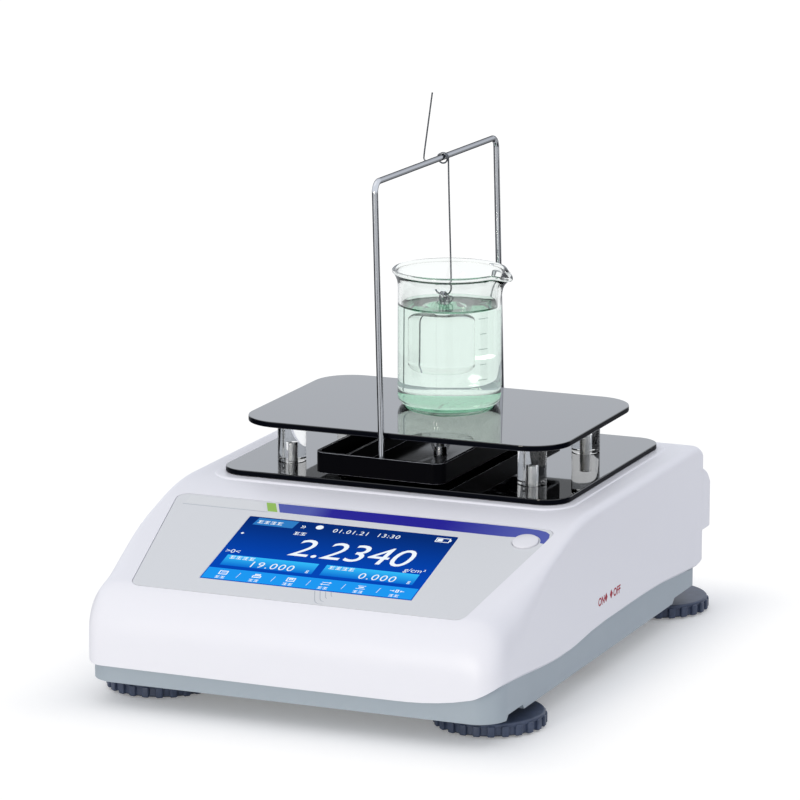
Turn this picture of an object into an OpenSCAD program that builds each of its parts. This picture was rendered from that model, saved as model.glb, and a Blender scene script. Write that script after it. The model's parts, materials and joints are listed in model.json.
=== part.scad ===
// Digital density meter: a bench balance with a touch screen console, and on its deck a tray,
// a raised platform with a beaker, and a wire frame that hangs a glass sinker in the liquid.
// X runs to the right, Y to the back and Z up. The origin is on the bench, at the middle of the
// object's width and depth. A length called "from the front" is measured from the front face.

/* [Housing] */
// Width of the moulded housing
housing_w = 210; // [180:1:260]
// Depth of the housing without the hump at the back
housing_d = 283; // [270:1:340]
// Height of the deck above the bench
deck_h = 85.9; // [80:0.1:110]
// Wall of the upper shell
shell_wall = 2.8; // [2:0.1:4]
// Slope of the console in degrees
console_angle = 16; // [10:0.5:20]
// Height of the console's plane above the front face
console_front_h = 54.6; // [48:0.1:60]
// Depth of the rounded brow, from the front face back
brow_d = 14.5; // [8:0.5:24]
// Drop of the rounded brow
brow_drop = 21; // [10:0.5:26]
// Height of the parting line at the front
lip_front_h = 18.5; // [17:0.1:22]
// Height of the parting line along the sides
lip_side_h = 26.8; // [22:0.1:30]
// Depth of the hump on the rear face
hump_d = 17; // [10:1:30]
// Height of the hump's lower face above the bench
hump_bottom_h = 38.6; // [34:0.1:44]
// Height of the hump where it meets the rear face
hump_top_h = 71.8; // [60:0.1:74]

/* [Base] */
// Inset of the base from the shell, at the sides
base_inset = 1.5; // [1:0.1:3]
// Inset of the base from the shell, at the front
base_front_inset = 3; // [2:0.1:4]
// Inset of the base from the shell's rear face
base_rear_inset = 10; // [6:0.5:14]
// Height of the skirt's lower edge above the bench
skirt_h = 11.5; // [11:0.1:14]
// Rise of the skirt's lower edge beside the feet
skirt_step = 2.4; // [0:0.1:4]
// Wall of the base
base_wall = 2.6; // [2:0.1:4]
// Thickness of the base's floor
floor_t = 3; // [2:0.1:4]

/* [Levelling feet] */
// Distance between the left and right feet
feet_x = 167.2; // [140:0.2:172]
// Distance of the front feet from the front
foot_front = 45; // [38:0.5:60]
// Distance between the front and rear feet
feet_y = 226.6; // [200:0.2:228]
// Diameter over the ribs of a foot
foot_dia = 53; // [40:0.5:60]
// Height of a foot's disc
foot_h = 7.2; // [6:0.1:8]
// Number of ribs round a foot
foot_ribs = 16; // [8:1:24]
// Diameter of a foot's threaded stud
stud_dia = 8; // [6:0.5:10]
// Pitch of a foot's thread, which is its rise in one turn
stud_pitch = 1.25; // [1:0.05:1.5]
// Most turns that a foot makes either way
foot_turns = 3; // [1:1:3]

/* [Console] */
// Width of the panel sheet at its top edge
panel_top_w = 193; // [170:1:200]
// Width of the panel sheet at its bottom edge
panel_bottom_w = 168; // [140:1:180]
// Distance of the sheet's bottom edge from the front, along the slope
panel_low = 11.4; // [9:0.1:16]
// Length of the sheet along the slope
panel_l = 86.9; // [80:0.1:92]
// Thickness of the sheet
panel_t = 0.6; // [0.4:0.1:1]
// Width of the screen
screen_w = 106.5; // [80:0.5:130]
// Length of the screen along the slope
screen_l = 59.7; // [50:0.1:64]
// Distance of the screen's bottom edge from the front, along the slope
screen_low = 23.7; // [20:0.1:26]
// Thickness of the screen's glass
screen_t = 1.8; // [1.2:0.1:3]
// Diameter of the push button
button_dia = 12.6; // [8:0.2:14]
// Distance of the button from the middle
button_x = 86.1; // [70:0.1:88]
// Distance of the button from the front, along the slope
button_s = 85.3; // [80:0.1:90]
// Travel of the button
button_travel = 1.5; // [0.5:0.1:2]

/* [Deck and platform] */
// Width of the deck plate
deck_w = 178.6; // [150:0.2:186]
// Depth of the deck plate
deck_d = 143; // [120:0.5:150]
// Distance of the deck plate's middle from the front
deck_mid = 192.2; // [188:0.1:200]
// Corner radius of the deck plate
deck_r = 13; // [4:0.5:20]
// Thickness of the deck plate and the platform
plate_t = 2.9; // [2:0.1:5]
// Width of the platform
platform_w = 166.4; // [140:0.2:180]
// Depth of the platform
platform_d = 117.1; // [110:0.1:140]
// Distance of the platform's middle from the front
platform_mid = 187.2; // [185:0.1:195]
// Corner radius of the platform
platform_r = 20; // [6:0.5:30]
// Clear height under the platform, which is the length of its legs
leg_h = 20.4; // [18:0.1:30]
// Diameter of a leg
leg_dia = 14; // [10:0.5:18]
// Distance between the left and right legs
legs_x = 125.6; // [110:0.2:140]
// Distance between the front and rear legs
legs_y = 73.2; // [60:0.2:90]

/* [Tray and spindle] */
// Width of the weighing tray
tray_w = 67.5; // [50:0.5:80]
// Height of the tray's wall above its floor
tray_h = 8.4; // [7:0.1:14]
// Wall and floor of the tray
tray_wall = 1.6; // [1:0.1:2.5]
// Gap between the deck plate and the tray
tray_gap = 2.2; // [1.5:0.1:4]
// Corner radius of the tray
tray_r = 6; // [3:0.5:10]
// Place of the tray's middle, to the right of the housing's middle
tray_x = -3.4; // [-6:0.1:6]
// Place of the partition, to the right of the tray's middle
partition_x = -18; // [-22:0.5:-14]
// Turn of the tray and the frame, clockwise from above, in degrees
tray_turn = 1.5; // [0:0.1:4]
// Place of the spindle, to the right of the housing's middle
spindle_x = 5.5; // [2:0.1:9]
// Distance of the spindle from the front
spindle_mid = 175; // [170:0.5:190]
// Diameter of the spindle's post
spindle_dia = 12; // [8:0.5:14]
// Diameter of the spindle's upper stud
tray_stud_dia = 4; // [3:0.5:5]

/* [Hanger] */
// Diameter of the frame's rod
rod_dia = 3; // [2:0.1:4]
// Distance between the frame's legs
frame_span = 146.5; // [130:0.5:160]
// Height of the frame's bar above the bench
bar_h = 233.8; // [210:0.1:260]
// Distance of the frame's middle from the front
frame_mid = 198; // [194:0.5:202]
// Bend radius at the frame's corners, to the middle of the rod
frame_bend_r = 5; // [3:0.5:15]
// Lean of the frame to the left, in degrees
frame_lean = 1.6; // [0:0.1:3]
// Lift that takes the frame and the sinker clear of the beaker
frame_lift = 120; // [70:1:150]
// Diameter of the hanger wire
wire_dia = 0.8; // [0.6:0.1:1.2]
// Length of the wire's upright tail above the bar
tail_l = 32.5; // [10:0.5:40]
// Distance of the tail's foot from the bar
tail_x = 9.6; // [5:0.1:14]
// Lean of the tail's top towards the bar
tail_lean = 4.4; // [0:0.1:5]
// Distance of the wire and the sinker from the front
wire_mid = 206.1; // [200:0.1:208]
// Height of the wire's hook above the bench
hook_h = 165.6; // [162:0.1:172]
// Radius of the hook, to the middle of the wire
hook_r = 3.5; // [2.5:0.1:4.5]

/* [Beaker and sinker] */
// Outer diameter of the beaker
beaker_dia = 51; // [44:0.5:60]
// Height of the beaker
beaker_h = 68; // [60:0.5:80]
// Wall of the beaker
beaker_wall = 1.6; // [1.2:0.1:2.5]
// Flare of the beaker's rim
rim_flare = 4; // [1:0.1:6]
// Reach of the spout past the rim
spout_reach = 3.5; // [1:0.1:6]
// Place of the beaker, to the right of the housing's middle
beaker_x = -0.5; // [-4:0.1:4]
// Distance of the beaker from the front
beaker_mid = 201.1; // [198:0.1:204]
// Diameter of the sinker
sinker_dia = 22; // [14:0.5:24]
// Length of the sinker's bulb
sinker_l = 29; // [20:0.5:30]

/* [Hidden] */
$fn = 64;

// Overlap that a cut has past the face it opens
cut = 1;
// Gap between pieces that lie side by side
gap = 0.15;
// Gap between curved pieces on different bodies
clear = 0.3;
// Radial play of a running fit
play = 0.05;

// Front and rear of the object, and a place given by its distance from the front
depth = housing_d + hump_d;
front_y = -depth / 2;
rear_y = front_y + housing_d;
function from_front(d) = front_y + d;

// Colours
white = "#F0F0F6";
grey = "#A9B2B8";
pale = "#DFE1E3";
black = "#17171B";
slate = "#44506A";
steel = "#B8BCC2";
aluminium = "#C9CCD0";
board_green = "#1F6B45";
brass = "#C8A24A";
rubber = "#26282B";
glass = [0.85, 0.93, 0.93, 0.45];
clear_plastic = [0.9, 0.92, 0.94, 0.5];

// Crown of the shell, a step below the deck
deck_step = 0.5;
crown_h = deck_h - deck_step;
console_slope = tan(console_angle);
// The console's plane bends into the level crown over this run, which starts behind the panel
panel_end = (panel_low + panel_l) * cos(console_angle);
bend_d = panel_end - 4;
bend_h = console_front_h + console_slope * bend_d;
bend_run = 2 * (crown_h - bend_h) / console_slope;
// Plan corners at the front, and their curve's power
corner_x = 14;
corner_y = 20;
corner_power = 2.6;
// Shoulders between the top and the sides: width and drop at the nose and along the deck
shoulder_nose = [19.6, 37];
shoulder_deck = [5, 4.2];
shoulder_power = 2.7;
shoulder_run = 75;
brow_power = 2.1;
// Rounded rear edge and rear corners
rear_round_d = 15;
rear_round_drop = 11.4;
rear_corner = 5;
// Chamfer over the parting line, and the shell's thicker front wall
lip_chamfer = 1.5;
front_wall = base_front_inset + 1.3;

function smooth(t) = let (c = min(max(t, 0), 1)) c * c * (3 - 2 * c);
// Fall from a superellipse's top at the share u of its run, where u is 1 at its end
function fall(u, power) = 1 - pow(1 - pow(min(max(u, 0), 1), power), 1 / power);

// Height of the console and the crown, before the brow and the rear edge are rounded
function plane_h(d) =
    d < bend_d ? console_front_h + console_slope * d
    : d > bend_d + bend_run ? crown_h
    : bend_h + console_slope * (d - bend_d) * (1 - (d - bend_d) / (2 * bend_run));
function top_h(d) =
    plane_h(d) - brow_drop * fall(1 - d / brow_d, brow_power)
    - rear_round_drop * fall((d - housing_d + rear_round_d) / rear_round_d, 2);
function half_w(d) =
    housing_w / 2 - corner_x * fall(1 - d / corner_y, corner_power)
    - rear_corner * fall((d - housing_d + rear_corner) / rear_corner, 2);
function shoulder(d) =
    shoulder_deck + (shoulder_nose - shoulder_deck) * smooth(1 - d / shoulder_run);

// Parting line: low at the front, high along the sides, lower again at the back
lip_rise_run = 30;
lip_rear_h = 22.9;
lip_fall_d = 205;
lip_turn_up = 1.8;
function lip_h(d) =
    lip_front_h + (lip_side_h - lip_front_h) * smooth(d / lip_rise_run)
    - (lip_side_h - lip_rear_h) * smooth((d - lip_fall_d) / (housing_d - base_rear_inset - lip_fall_d))
    + lip_turn_up * smooth((d - housing_d + base_rear_inset) / base_rear_inset)
    + 2.5 * max(0, 1 - d / base_front_inset);

// Stations along the housing, close together where it curves
nose_steps = 8;
stations = concat(
    [for (i = [0:nose_steps - 1]) brow_d * (1 - cos(90 * i / nose_steps))],
    [brow_d, 18, 22, 26, 32, 40, 50, 60, 70, 80],
    [for (i = [0:6]) bend_d + bend_run * i / 6],
    [150, 180, 205, 225, 245, 260],
    [for (i = [0:6]) housing_d - rear_round_d * cos(90 * i / 6)]
);
shoulder_steps = 8;

// Half of the section at d, from the lip up to the flat top, drawn in by a wall w
function half_section(d, w) =
    let (s = shoulder(d),
         lip = lip_h(w > 0 ? inner_d(d) : d),
         a = max(s[0] - w, 1),
         b = max(min(s[1], top_h(d) - lip - 4) - w, 1),
         x = half_w(d) - w,
         z = top_h(d) - w,
         c = w > 0 ? 0 : lip_chamfer)
    concat(
        [[x - c, lip], [x, lip + max(c, 0.5)]],
        [for (i = [0:shoulder_steps])
            let (t = 90 * i / shoulder_steps)
            [x - a * (1 - pow(cos(t), 2 / shoulder_power)), z - b * (1 - pow(sin(t), 2 / shoulder_power))]]
    );
function ring(d, w, y) =
    let (h = half_section(d, w), n = len(h))
    concat([for (p = h) [-p[0], y, p[1]]], [for (i = [n - 1:-1:0]) [h[i][0], y, h[i][1]]]);

// An inner station keeps its distance from the front and rear walls
function inner_d(d) = front_wall + d * (housing_d - front_wall - shell_wall) / housing_d;
outer_rings = [for (d = stations) ring(d, 0, from_front(d))];
inner_rings = [for (d = stations) ring(d, shell_wall, from_front(inner_d(d)))];

function flatten(lists) = [for (l = lists) for (p = l) p];
// Faces between rings of n points, which stay open between the last and first point
function strip_faces(rows, n, base, out) = [
    for (r = [0:rows - 2], i = [0:n - 2])
        let (a = base + r * n + i, b = a + 1, c = a + n, d = c + 1)
        each out ? [[a, b, c], [b, d, c]] : [[a, c, b], [b, c, d]]
];

// A cap over a ring of n points. It starts at the ring's top, because points on its sides lie in line.
function cap(base, n, up) = [for (i = [0:n - 1]) base + (n / 2 + (up ? i : n - i)) % n];

// The shell's open moulding: an outer and an inner skin, joined along the parting line
module shell_moulding() {
    rows = len(stations);
    n = len(outer_rings[0]);
    inner = rows * n;
    last = (rows - 1) * n;
    side_lips = [
        for (r = [0:rows - 2])
            let (o = r * n, i = inner + o, p = o + n - 1, q = i + n - 1)
            each [[o, i, o + n], [i, i + n, o + n], [p, p + n, q], [q, p + n, q + n]]
    ];
    end_lips = [
        [n - 1, inner, 0], [n - 1, inner + n - 1, inner],
        [last + n - 1, last, inner + last], [inner + last, inner + last + n - 1, last + n - 1]
    ];
    polyhedron(
        points = concat(flatten(outer_rings), flatten(inner_rings)),
        faces = concat(
            strip_faces(rows, n, 0, false),
            strip_faces(rows, n, inner, true),
            [cap(0, n, true), cap(inner, n, false), cap(last, n, false), cap(inner + last, n, true)],
            side_lips,
            end_lips
        )
    );
}

// Rectangle with round corners
module round_rect(w, l, r) {
    square([w - 2 * r, l], center = true);
    square([w, l - 2 * r], center = true);
    for (x = [-1, 1], y = [-1, 1])
        translate([x * (w / 2 - r), y * (l / 2 - r)]) circle(r);
}

// Plate with round corners, resting on z = 0
module round_plate(w, l, r, t) {
    linear_extrude(t) round_rect(w, l, r);
}

// Side view drawn as points of distance from the front and height, swept over a width
module sweep_x(w, points) {
    rotate([90, 0, 90])
        translate([0, 0, -w / 2])
            linear_extrude(w) polygon([for (p = points) [from_front(p[0]), p[1]]]);
}

// Moves its children on to the console: x across, y up the slope, z out of the plane
module on_console() {
    translate([0, front_y, console_front_h]) rotate([console_angle, 0, 0]) children();
}

// Feet, in the order front left, front right, rear left, rear right
foot_places = [
    for (y = [foot_front, foot_front + feet_y], x = [-1, 1]) [x * feet_x / 2, from_front(y)]
];
leg_places = [
    for (y = [-1, 1], x = [-1, 1])
        [x * legs_x / 2, from_front(platform_mid) + y * legs_y / 2]
];

// Heights that stack up from the bench
floor_h = skirt_h + 2;
floor_top = floor_h + floor_t;
deck_top = deck_h + plate_t;
platform_h = deck_top + leg_h;
platform_top = platform_h + plate_t;
tray_bottom = deck_top + tray_gap;
tray_floor = tray_bottom + tray_wall;

// Housing screws: six places, and the height where base posts and shell pillars meet
screw_places = [
    for (p = [[72, 15], [94, 190], [60, housing_d - 20]], x = [-1, 1]) [x * p[0], p[1]]
];
post_top = 22;
post_r = 4.5;
pillar_r = 4;
screw_r = 1.5;
screw_head_r = 3;
screw_head_t = 2.2;

// Foot thread: the insert, its boss, and the space that the stud climbs into
insert_r = 5.5;
insert_h = 10;
insert_rim = 1.5;
insert_rim_h = 1;
boss_r = 8;
boss_top = floor_top + 7;
foot_travel = stud_pitch * foot_turns;
stud_r = stud_dia / 2;

// Rocker switch under the right edge
switch_x = housing_w / 2 - 16;
switch_mid = 145;
switch_l = 21;
switch_w = 15;
switch_lip = 1.5;
switch_cut_l = 19.2;
switch_cut_w = 13;
rocker_l = 16;
rocker_w = 10;
rocker_tilt = 9;
rocker_pivot_h = floor_h + 1;

// Battery bay on the left
battery_size = [58, 43, 19];
battery_x = -48;
battery_mid = 138;
bay_cut = [61.5, 46.5];
cover_size = [66, 51];
cover_t = 1.5;

// Load cell and its block
cell_w = 25;
cell_h = 22;
cell_l = 100;
cell_block_h = 18;
cell_bottom = floor_top + cell_block_h;
cell_top = cell_bottom + cell_h;
cell_start = spindle_mid - 12;
cell_hole_r = 8;
cell_travel = 0.5;
cell_screw_r = 2.5;
cell_fixed = [cell_start + cell_l - 24, cell_start + cell_l - 9];

// Main board
main_board_size = [124, 66, 1.6];
board_h = floor_top + 10;
board_mid = 62;

// Connectors in the hump's rear face
socket_x = 52;
serial_x = 8;
connector_h = hump_bottom_h + 14;
hump_wall = shell_wall - 0.2;

// Display: its glass lies below the console's plane, and its back plate sits on four bosses
glass_sink = 0.25;
display_plate_depth = 7;
display_plate_t = 1.2;
display_plate_margin = 7.5;

// Button: its cap, its plunger, and the switch board under the collar that guides it
button_cap_t = 3.2;
plunger_depth = 6.2;
button_board_depth = 12.4;
button_board_t = 1.6;
button_board_w = 19;
collar_r = button_dia / 2 + 2;

module base_pan_outline(inset) {
    r = 14 - inset;
    rear_r = 4 - min(inset, 2);
    x = housing_w / 2 - base_inset - inset;
    y0 = from_front(base_front_inset + inset);
    y1 = rear_y - base_rear_inset - inset;
    translate([-x, y0 + r]) square([2 * x, y1 - y0 - r - rear_r]);
    translate([-x + r, y0]) square([2 * (x - r), r]);
    translate([-x + rear_r, y1 - rear_r]) square([2 * (x - rear_r), rear_r]);
    for (s = [-1, 1]) {
        translate([s * (x - r), y0 + r]) circle(r);
        translate([s * (x - rear_r), y1 - rear_r]) circle(rear_r);
    }
}

// Side view of the skirt: a stepped lower edge, and an upper edge that follows the parting line
function skirt_top(rise) = [
    for (i = [len(stations) - 1:-1:0]) [stations[i], lip_h(max(stations[i], base_front_inset)) - gap + rise]
];
skirt_bottom = [
    [-5, skirt_h], [foot_front - 30, skirt_h], [foot_front - 28, skirt_h + skirt_step],
    [foot_front - 10, skirt_h + skirt_step], [foot_front - 8, skirt_h],
    [foot_front + feet_y - 32, skirt_h], [foot_front + feet_y - 29, skirt_h + skirt_step],
    [housing_d + 5, skirt_h + skirt_step]
];

module base_skirt() {
    tongue_rise = 3;
    tongue_t = 1;
    intersection() {
        linear_extrude(60) difference() {
            base_pan_outline(0);
            base_pan_outline(base_wall);
        }
        sweep_x(housing_w + 20, concat(skirt_bottom, [[housing_d + 5, lip_rear_h - gap]], skirt_top(0),
            [[-5, lip_front_h - gap]]));
    }
    intersection() {
        linear_extrude(60) difference() {
            base_pan_outline(base_wall - tongue_t + clear);
            base_pan_outline(base_wall + clear);
        }
        sweep_x(housing_w + 20, concat([[-5, skirt_h + 4], [housing_d + 5, skirt_h + 4],
            [housing_d + 5, lip_rear_h - gap]], skirt_top(tongue_rise), [[-5, lip_front_h + tongue_rise]]));
    }
}

module base_floor() {
    translate([0, 0, floor_h]) linear_extrude(floor_t) base_pan_outline(base_wall / 2);
    // Bosses for the feet
    for (p = foot_places) translate([p[0], p[1], floor_h]) cylinder(r = boss_r, h = boss_top - floor_h);
    // Posts for the housing screws
    for (p = screw_places)
        translate([p[0], from_front(p[1]), floor_h]) cylinder(r = post_r, h = post_top - floor_h);
    // Pillars under the main board
    for (x = [-1, 1], y = [-1, 1])
        translate([x * (main_board_size[0] / 2 - 5), from_front(board_mid) + y * (main_board_size[1] / 2 - 5),
                   floor_h])
            cylinder(r = 3, h = board_h - floor_h);
    // Walls round the battery
    translate([battery_x, from_front(battery_mid), floor_h]) linear_extrude(12) difference() {
        square([battery_size[0] + 7, battery_size[1] + 7], center = true);
        square([battery_size[0] + 3, battery_size[1] + 3], center = true);
    }
    // Stiffening ribs across the floor, on each side of the load cell
    for (d = [105, 240])
        for (s = [-1, 1])
            translate([s * 58 - 30, from_front(d), floor_h]) cube([60, 2, floor_t + 5]);
}

module base_pan() {
    color(grey) difference() {
        union() {
            base_skirt();
            base_floor();
        }
        // Bores for the foot inserts, and room above the bosses, which at the back stand in the wall
        for (p = foot_places) translate([p[0], p[1], 0]) {
            translate([0, 0, floor_h - cut]) cylinder(r = insert_r, h = boss_top - floor_h + 2 * cut);
            translate([0, 0, boss_top]) cylinder(r = boss_r + cut, h = 20);
        }
        // Housing screws: shank and sunk head
        for (p = screw_places) translate([p[0], from_front(p[1]), floor_h - cut]) {
            cylinder(r = screw_r + 0.2, h = 20);
            cylinder(r = screw_head_r + 0.4, h = cut + screw_head_t + 0.3);
        }
        // Opening for the battery and a rebate for its cover
        translate([battery_x, from_front(battery_mid), floor_h - cut]) {
            translate([-bay_cut[0] / 2, -bay_cut[1] / 2, 0]) cube([bay_cut[0], bay_cut[1], floor_t + 2 * cut]);
            round_plate(cover_size[0] + 2 * clear, cover_size[1] + 2 * clear, 3, cut + cover_t + gap);
        }
        // Opening for the rocker switch
        translate([switch_x - switch_cut_w / 2, from_front(switch_mid) - switch_cut_l / 2, floor_h - cut])
            cube([switch_cut_w, switch_cut_l, floor_t + 2 * cut]);
    }
}

// Brass nuts that the feet screw into, pressed into the base
module foot_inserts() {
    color(brass) for (p = foot_places) translate([p[0], p[1], boss_top - insert_h]) difference() {
        union() {
            cylinder(r = insert_r, h = insert_h);
            translate([0, 0, insert_h]) cylinder(r = insert_r + insert_rim, h = insert_rim_h);
        }
        translate([0, 0, -cut]) cylinder(r = stud_r + play, h = insert_h + insert_rim_h + 2 * cut);
    }
}

// One levelling foot: a serrated disc on a threaded stud, hollow under for its sole
sole_r = foot_dia / 2 - 7;
sole_recess = 2;
sole_proud = 0.6;
sole_pin_r = 4;
module foot_knob(i) {
    tip_r = foot_dia / 2;
    root_r = tip_r - 1.6;
    rib_w = 2;
    pad_w = 5.2;
    edge_r = 2;
    color(slate) translate([foot_places[i][0], foot_places[i][1], 0]) difference() {
        union() {
            intersection() {
                // The disc's outline, with a round top edge and a chamfer under it
                rotate_extrude() union() {
                    polygon([[0, sole_proud], [tip_r - 1.2, sole_proud], [tip_r, sole_proud + 1.6],
                             [tip_r, foot_h - edge_r], [tip_r - edge_r, foot_h - edge_r],
                             [tip_r - edge_r, foot_h], [0, foot_h]]);
                    translate([tip_r - edge_r, foot_h - edge_r]) circle(edge_r);
                }
                union() {
                    cylinder(r = root_r, h = foot_h);
                    for (k = [0:foot_ribs - 1]) rotate(360 * k / foot_ribs) {
                        translate([0, -rib_w / 2, 0]) cube([tip_r, rib_w, foot_h]);
                        rotate(180 / foot_ribs) translate([0, -pad_w / 2, 1.9]) cube([tip_r - 0.5, pad_w, 3]);
                    }
                }
            }
            translate([0, 0, foot_h]) cylinder(r1 = 9, r2 = 7, h = 1.2);
            cylinder(r = stud_r, h = boss_top);
        }
        // Recess for the sole and bore for its pin
        translate([0, 0, sole_proud - cut]) cylinder(r = sole_r + clear, h = cut + sole_recess);
        cylinder(r = sole_pin_r + play, h = sole_proud + sole_recess + 2.6);
    }
}

// Rubber sole that stays still on the bench while its foot is turned
module foot_sole(i) {
    color(rubber) translate([foot_places[i][0], foot_places[i][1], 0]) {
        cylinder(r1 = sole_r - 0.8, r2 = sole_r, h = 0.8);
        translate([0, 0, 0.8]) cylinder(r = sole_r, h = sole_proud + sole_recess - gap - 0.8);
        cylinder(r = sole_pin_r, h = sole_proud + sole_recess + 2.3);
    }
}

// Hump on the rear face, hollow towards the housing
module hump_block(t) {
    chamfer = 2.5;
    back = depth - t;
    points = [
        [housing_d - shell_wall, hump_bottom_h + t], [back - chamfer, hump_bottom_h + t],
        [back, hump_bottom_h + t + chamfer], [back, hump_top_h - 9.3 - t / 2],
        [back - 1.2, hump_top_h - 7.8 - t / 2], [housing_d, hump_top_h - t],
        [housing_d - shell_wall, hump_top_h - t]
    ];
    w = housing_w - 4 - 2 * t;
    intersection() {
        sweep_x(w, points);
        translate([0, from_front(housing_d), 0])
            linear_extrude(hump_top_h + 1) round_rect(w, 2 * (hump_d - t), 5 - t);
    }
}

module upper_housing() {
    pad_margin = 4.5;
    pad_front = deck_mid - deck_d / 2 - pad_margin - 1.5;
    pad_back = deck_mid + deck_d / 2 + pad_margin;
    pad_w = deck_w + 2 * pad_margin;
    boss_s = [screen_low - 4, screen_low + screen_l + 4];
    color(white) difference() {
        union() {
            shell_moulding();
            // Raised seat of the deck plate, with a soft upper edge
            translate([0, from_front((pad_front + pad_back) / 2), 0]) hull() {
                translate([0, 0, crown_h - 2.6]) round_plate(pad_w, pad_back - pad_front, deck_r + 3, 1.6, $fn = 32);
                translate([0, 0, deck_h - 0.2])
                    round_plate(pad_w - 3, pad_back - pad_front - 3, deck_r + 1.5, 0.2, $fn = 32);
            }
            // Flange that turns the rear wall in to the base
            intersection() {
                sweep_x(housing_w - 2 * shell_wall, [
                    [housing_d - 0.6, lip_rear_h + lip_turn_up + 0.1],
                    [housing_d - base_rear_inset + 1, lip_rear_h],
                    [housing_d - base_rear_inset - 1.6, lip_rear_h],
                    [housing_d - base_rear_inset - 1.6, lip_rear_h + 2.4],
                    [housing_d - shell_wall, lip_rear_h + lip_turn_up + 2.6],
                    [housing_d - 0.6, lip_rear_h + lip_turn_up + 2.6]
                ]);
                translate([0, from_front(housing_d / 2), 0])
                    linear_extrude(60) square([housing_w - 4, housing_d - 0.6], center = true);
            }
            hump_block(0);
            // Pillars for the housing screws
            for (p = screw_places) translate([p[0], from_front(p[1]), post_top + gap])
                cylinder(r = pillar_r, h = top_h(p[1]) - shell_wall / 2 - post_top - gap);
            // Bosses that hold the display
            on_console() for (x = [-1, 1], s = boss_s)
                translate([x * (screen_w / 2 - 6), s, -display_plate_depth])
                    cylinder(r = 3, h = display_plate_depth - shell_wall / 2);
            // Collar that guides the push button and holds its board
            on_console() translate([button_x, button_s, -button_board_depth])
                cylinder(r = collar_r, h = button_board_depth - shell_wall / 2);
        }
        // Hollow of the hump, open to the housing
        hump_block(hump_wall);
        // Recess for the panel sheet
        on_console() panel_solid(0.2, glass_sink, 6);
        // Opening for the screen
        on_console() translate([0, screen_low + screen_l / 2, -12])
            linear_extrude(20) square([screen_w + 2 * gap, screen_l + 2 * gap], center = true);
        // Bore for the button
        on_console() translate([button_x, button_s, -button_board_depth - cut])
            cylinder(r = button_dia / 2 + gap, h = button_board_depth + 8);
        // Opening for the spindle
        translate([spindle_x, from_front(spindle_mid), crown_h - 12])
            cylinder(r = spindle_dia / 2 + 4, h = 20);
        // Holes for the leg screws
        for (p = leg_places) translate([p[0], p[1], crown_h - 12]) cylinder(r = leg_screw_r + 0.2, h = 20);
        // Pilot bores for the housing screws
        for (p = screw_places) translate([p[0], from_front(p[1]), post_top - cut]) cylinder(r = screw_r, h = 12);
        // Openings for the connectors
        translate([socket_x, from_front(depth) + cut, connector_h]) rotate([90, 0, 0])
            cylinder(r = socket_r + 0.2, h = 6);
        translate([serial_x, from_front(depth) + cut, connector_h]) rotate([90, 0, 0])
            linear_extrude(6) serial_outline(clear);
        // Room in the rear flange for the bosses and studs of the rear feet
        for (p = [foot_places[2], foot_places[3]]) translate([p[0], p[1], lip_side_h - 10])
            cylinder(r = boss_r + clear, h = boss_top + foot_travel + 2 - lip_side_h + 10);
    }
}

// The sheet's outline over a thickness; grow widens it and lift shifts its top face
module panel_solid(grow, sink, tall) {
    r = 5;
    low_x = panel_bottom_w / 2 - r;
    top_x = panel_top_w / 2 - r;
    low_y = panel_low + r;
    top_y = panel_low + panel_l - r;
    translate([0, 0, -panel_t - sink]) linear_extrude(tall) {
        polygon([[-low_x, low_y - r - grow], [low_x, low_y - r - grow], [low_x + r * 0.99 + grow, low_y],
                 [top_x + r * 0.99 + grow, top_y], [top_x, top_y + r + grow], [-top_x, top_y + r + grow],
                 [-top_x - r * 0.99 - grow, top_y], [-low_x - r * 0.99 - grow, low_y]]);
        for (s = [-1, 1]) {
            translate([s * low_x, low_y]) circle(r + grow);
            translate([s * top_x, top_y]) circle(r + grow);
        }
    }
}

// Printed sheet round the screen
module panel_overlay() {
    color(pale) on_console() difference() {
        panel_solid(0, glass_sink, panel_t);
        translate([0, screen_low + screen_l / 2, -5])
            linear_extrude(10) square([screen_w + 2 * gap, screen_l + 2 * gap], center = true);
        translate([button_x, button_s, -5]) cylinder(r = button_dia / 2 + gap, h = 10);
    }
}

// Glass of the display
module touch_screen() {
    color("#1457B8") on_console() translate([0, screen_low + screen_l / 2, -screen_t - glass_sink])
        round_plate(screen_w, screen_l, 1, screen_t);
}

// Display behind the glass: a metal body on a back plate, with its board and a connector
module display_module() {
    board_t = 1.6;
    back = -display_plate_depth - display_plate_t;
    body_t = display_plate_depth - screen_t - glass_sink;
    color(steel) on_console() translate([0, screen_low + screen_l / 2, 0]) {
        translate([0, 0, -display_plate_depth]) round_plate(screen_w - 2 * gap, screen_l - 2 * gap, 1, body_t);
        translate([0, 0, back]) round_plate(screen_w, screen_l + 2 * display_plate_margin, 1, display_plate_t);
        translate([0, 0, back - board_t]) round_plate(screen_w - 14, screen_l - 10, 1, board_t);
        translate([-20, -12, back - board_t - 4.6]) cube([24, 5, 4.6]);
    }
}

// Push button: a domed cap on a skirt, with a plunger under it
module power_button() {
    r = button_dia / 2 - 0.1;
    color(white) on_console() translate([button_x, button_s, 0]) {
        rotate_extrude() polygon(concat(
            [[0, -plunger_depth], [1.6, -plunger_depth], [1.6, -button_cap_t], [r, -button_cap_t], [r, 0.3]],
            [for (i = [0:8]) [r * cos(90 * i / 8), 0.3 + 0.9 * sin(90 * i / 8)]]
        ));
    }
}

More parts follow.
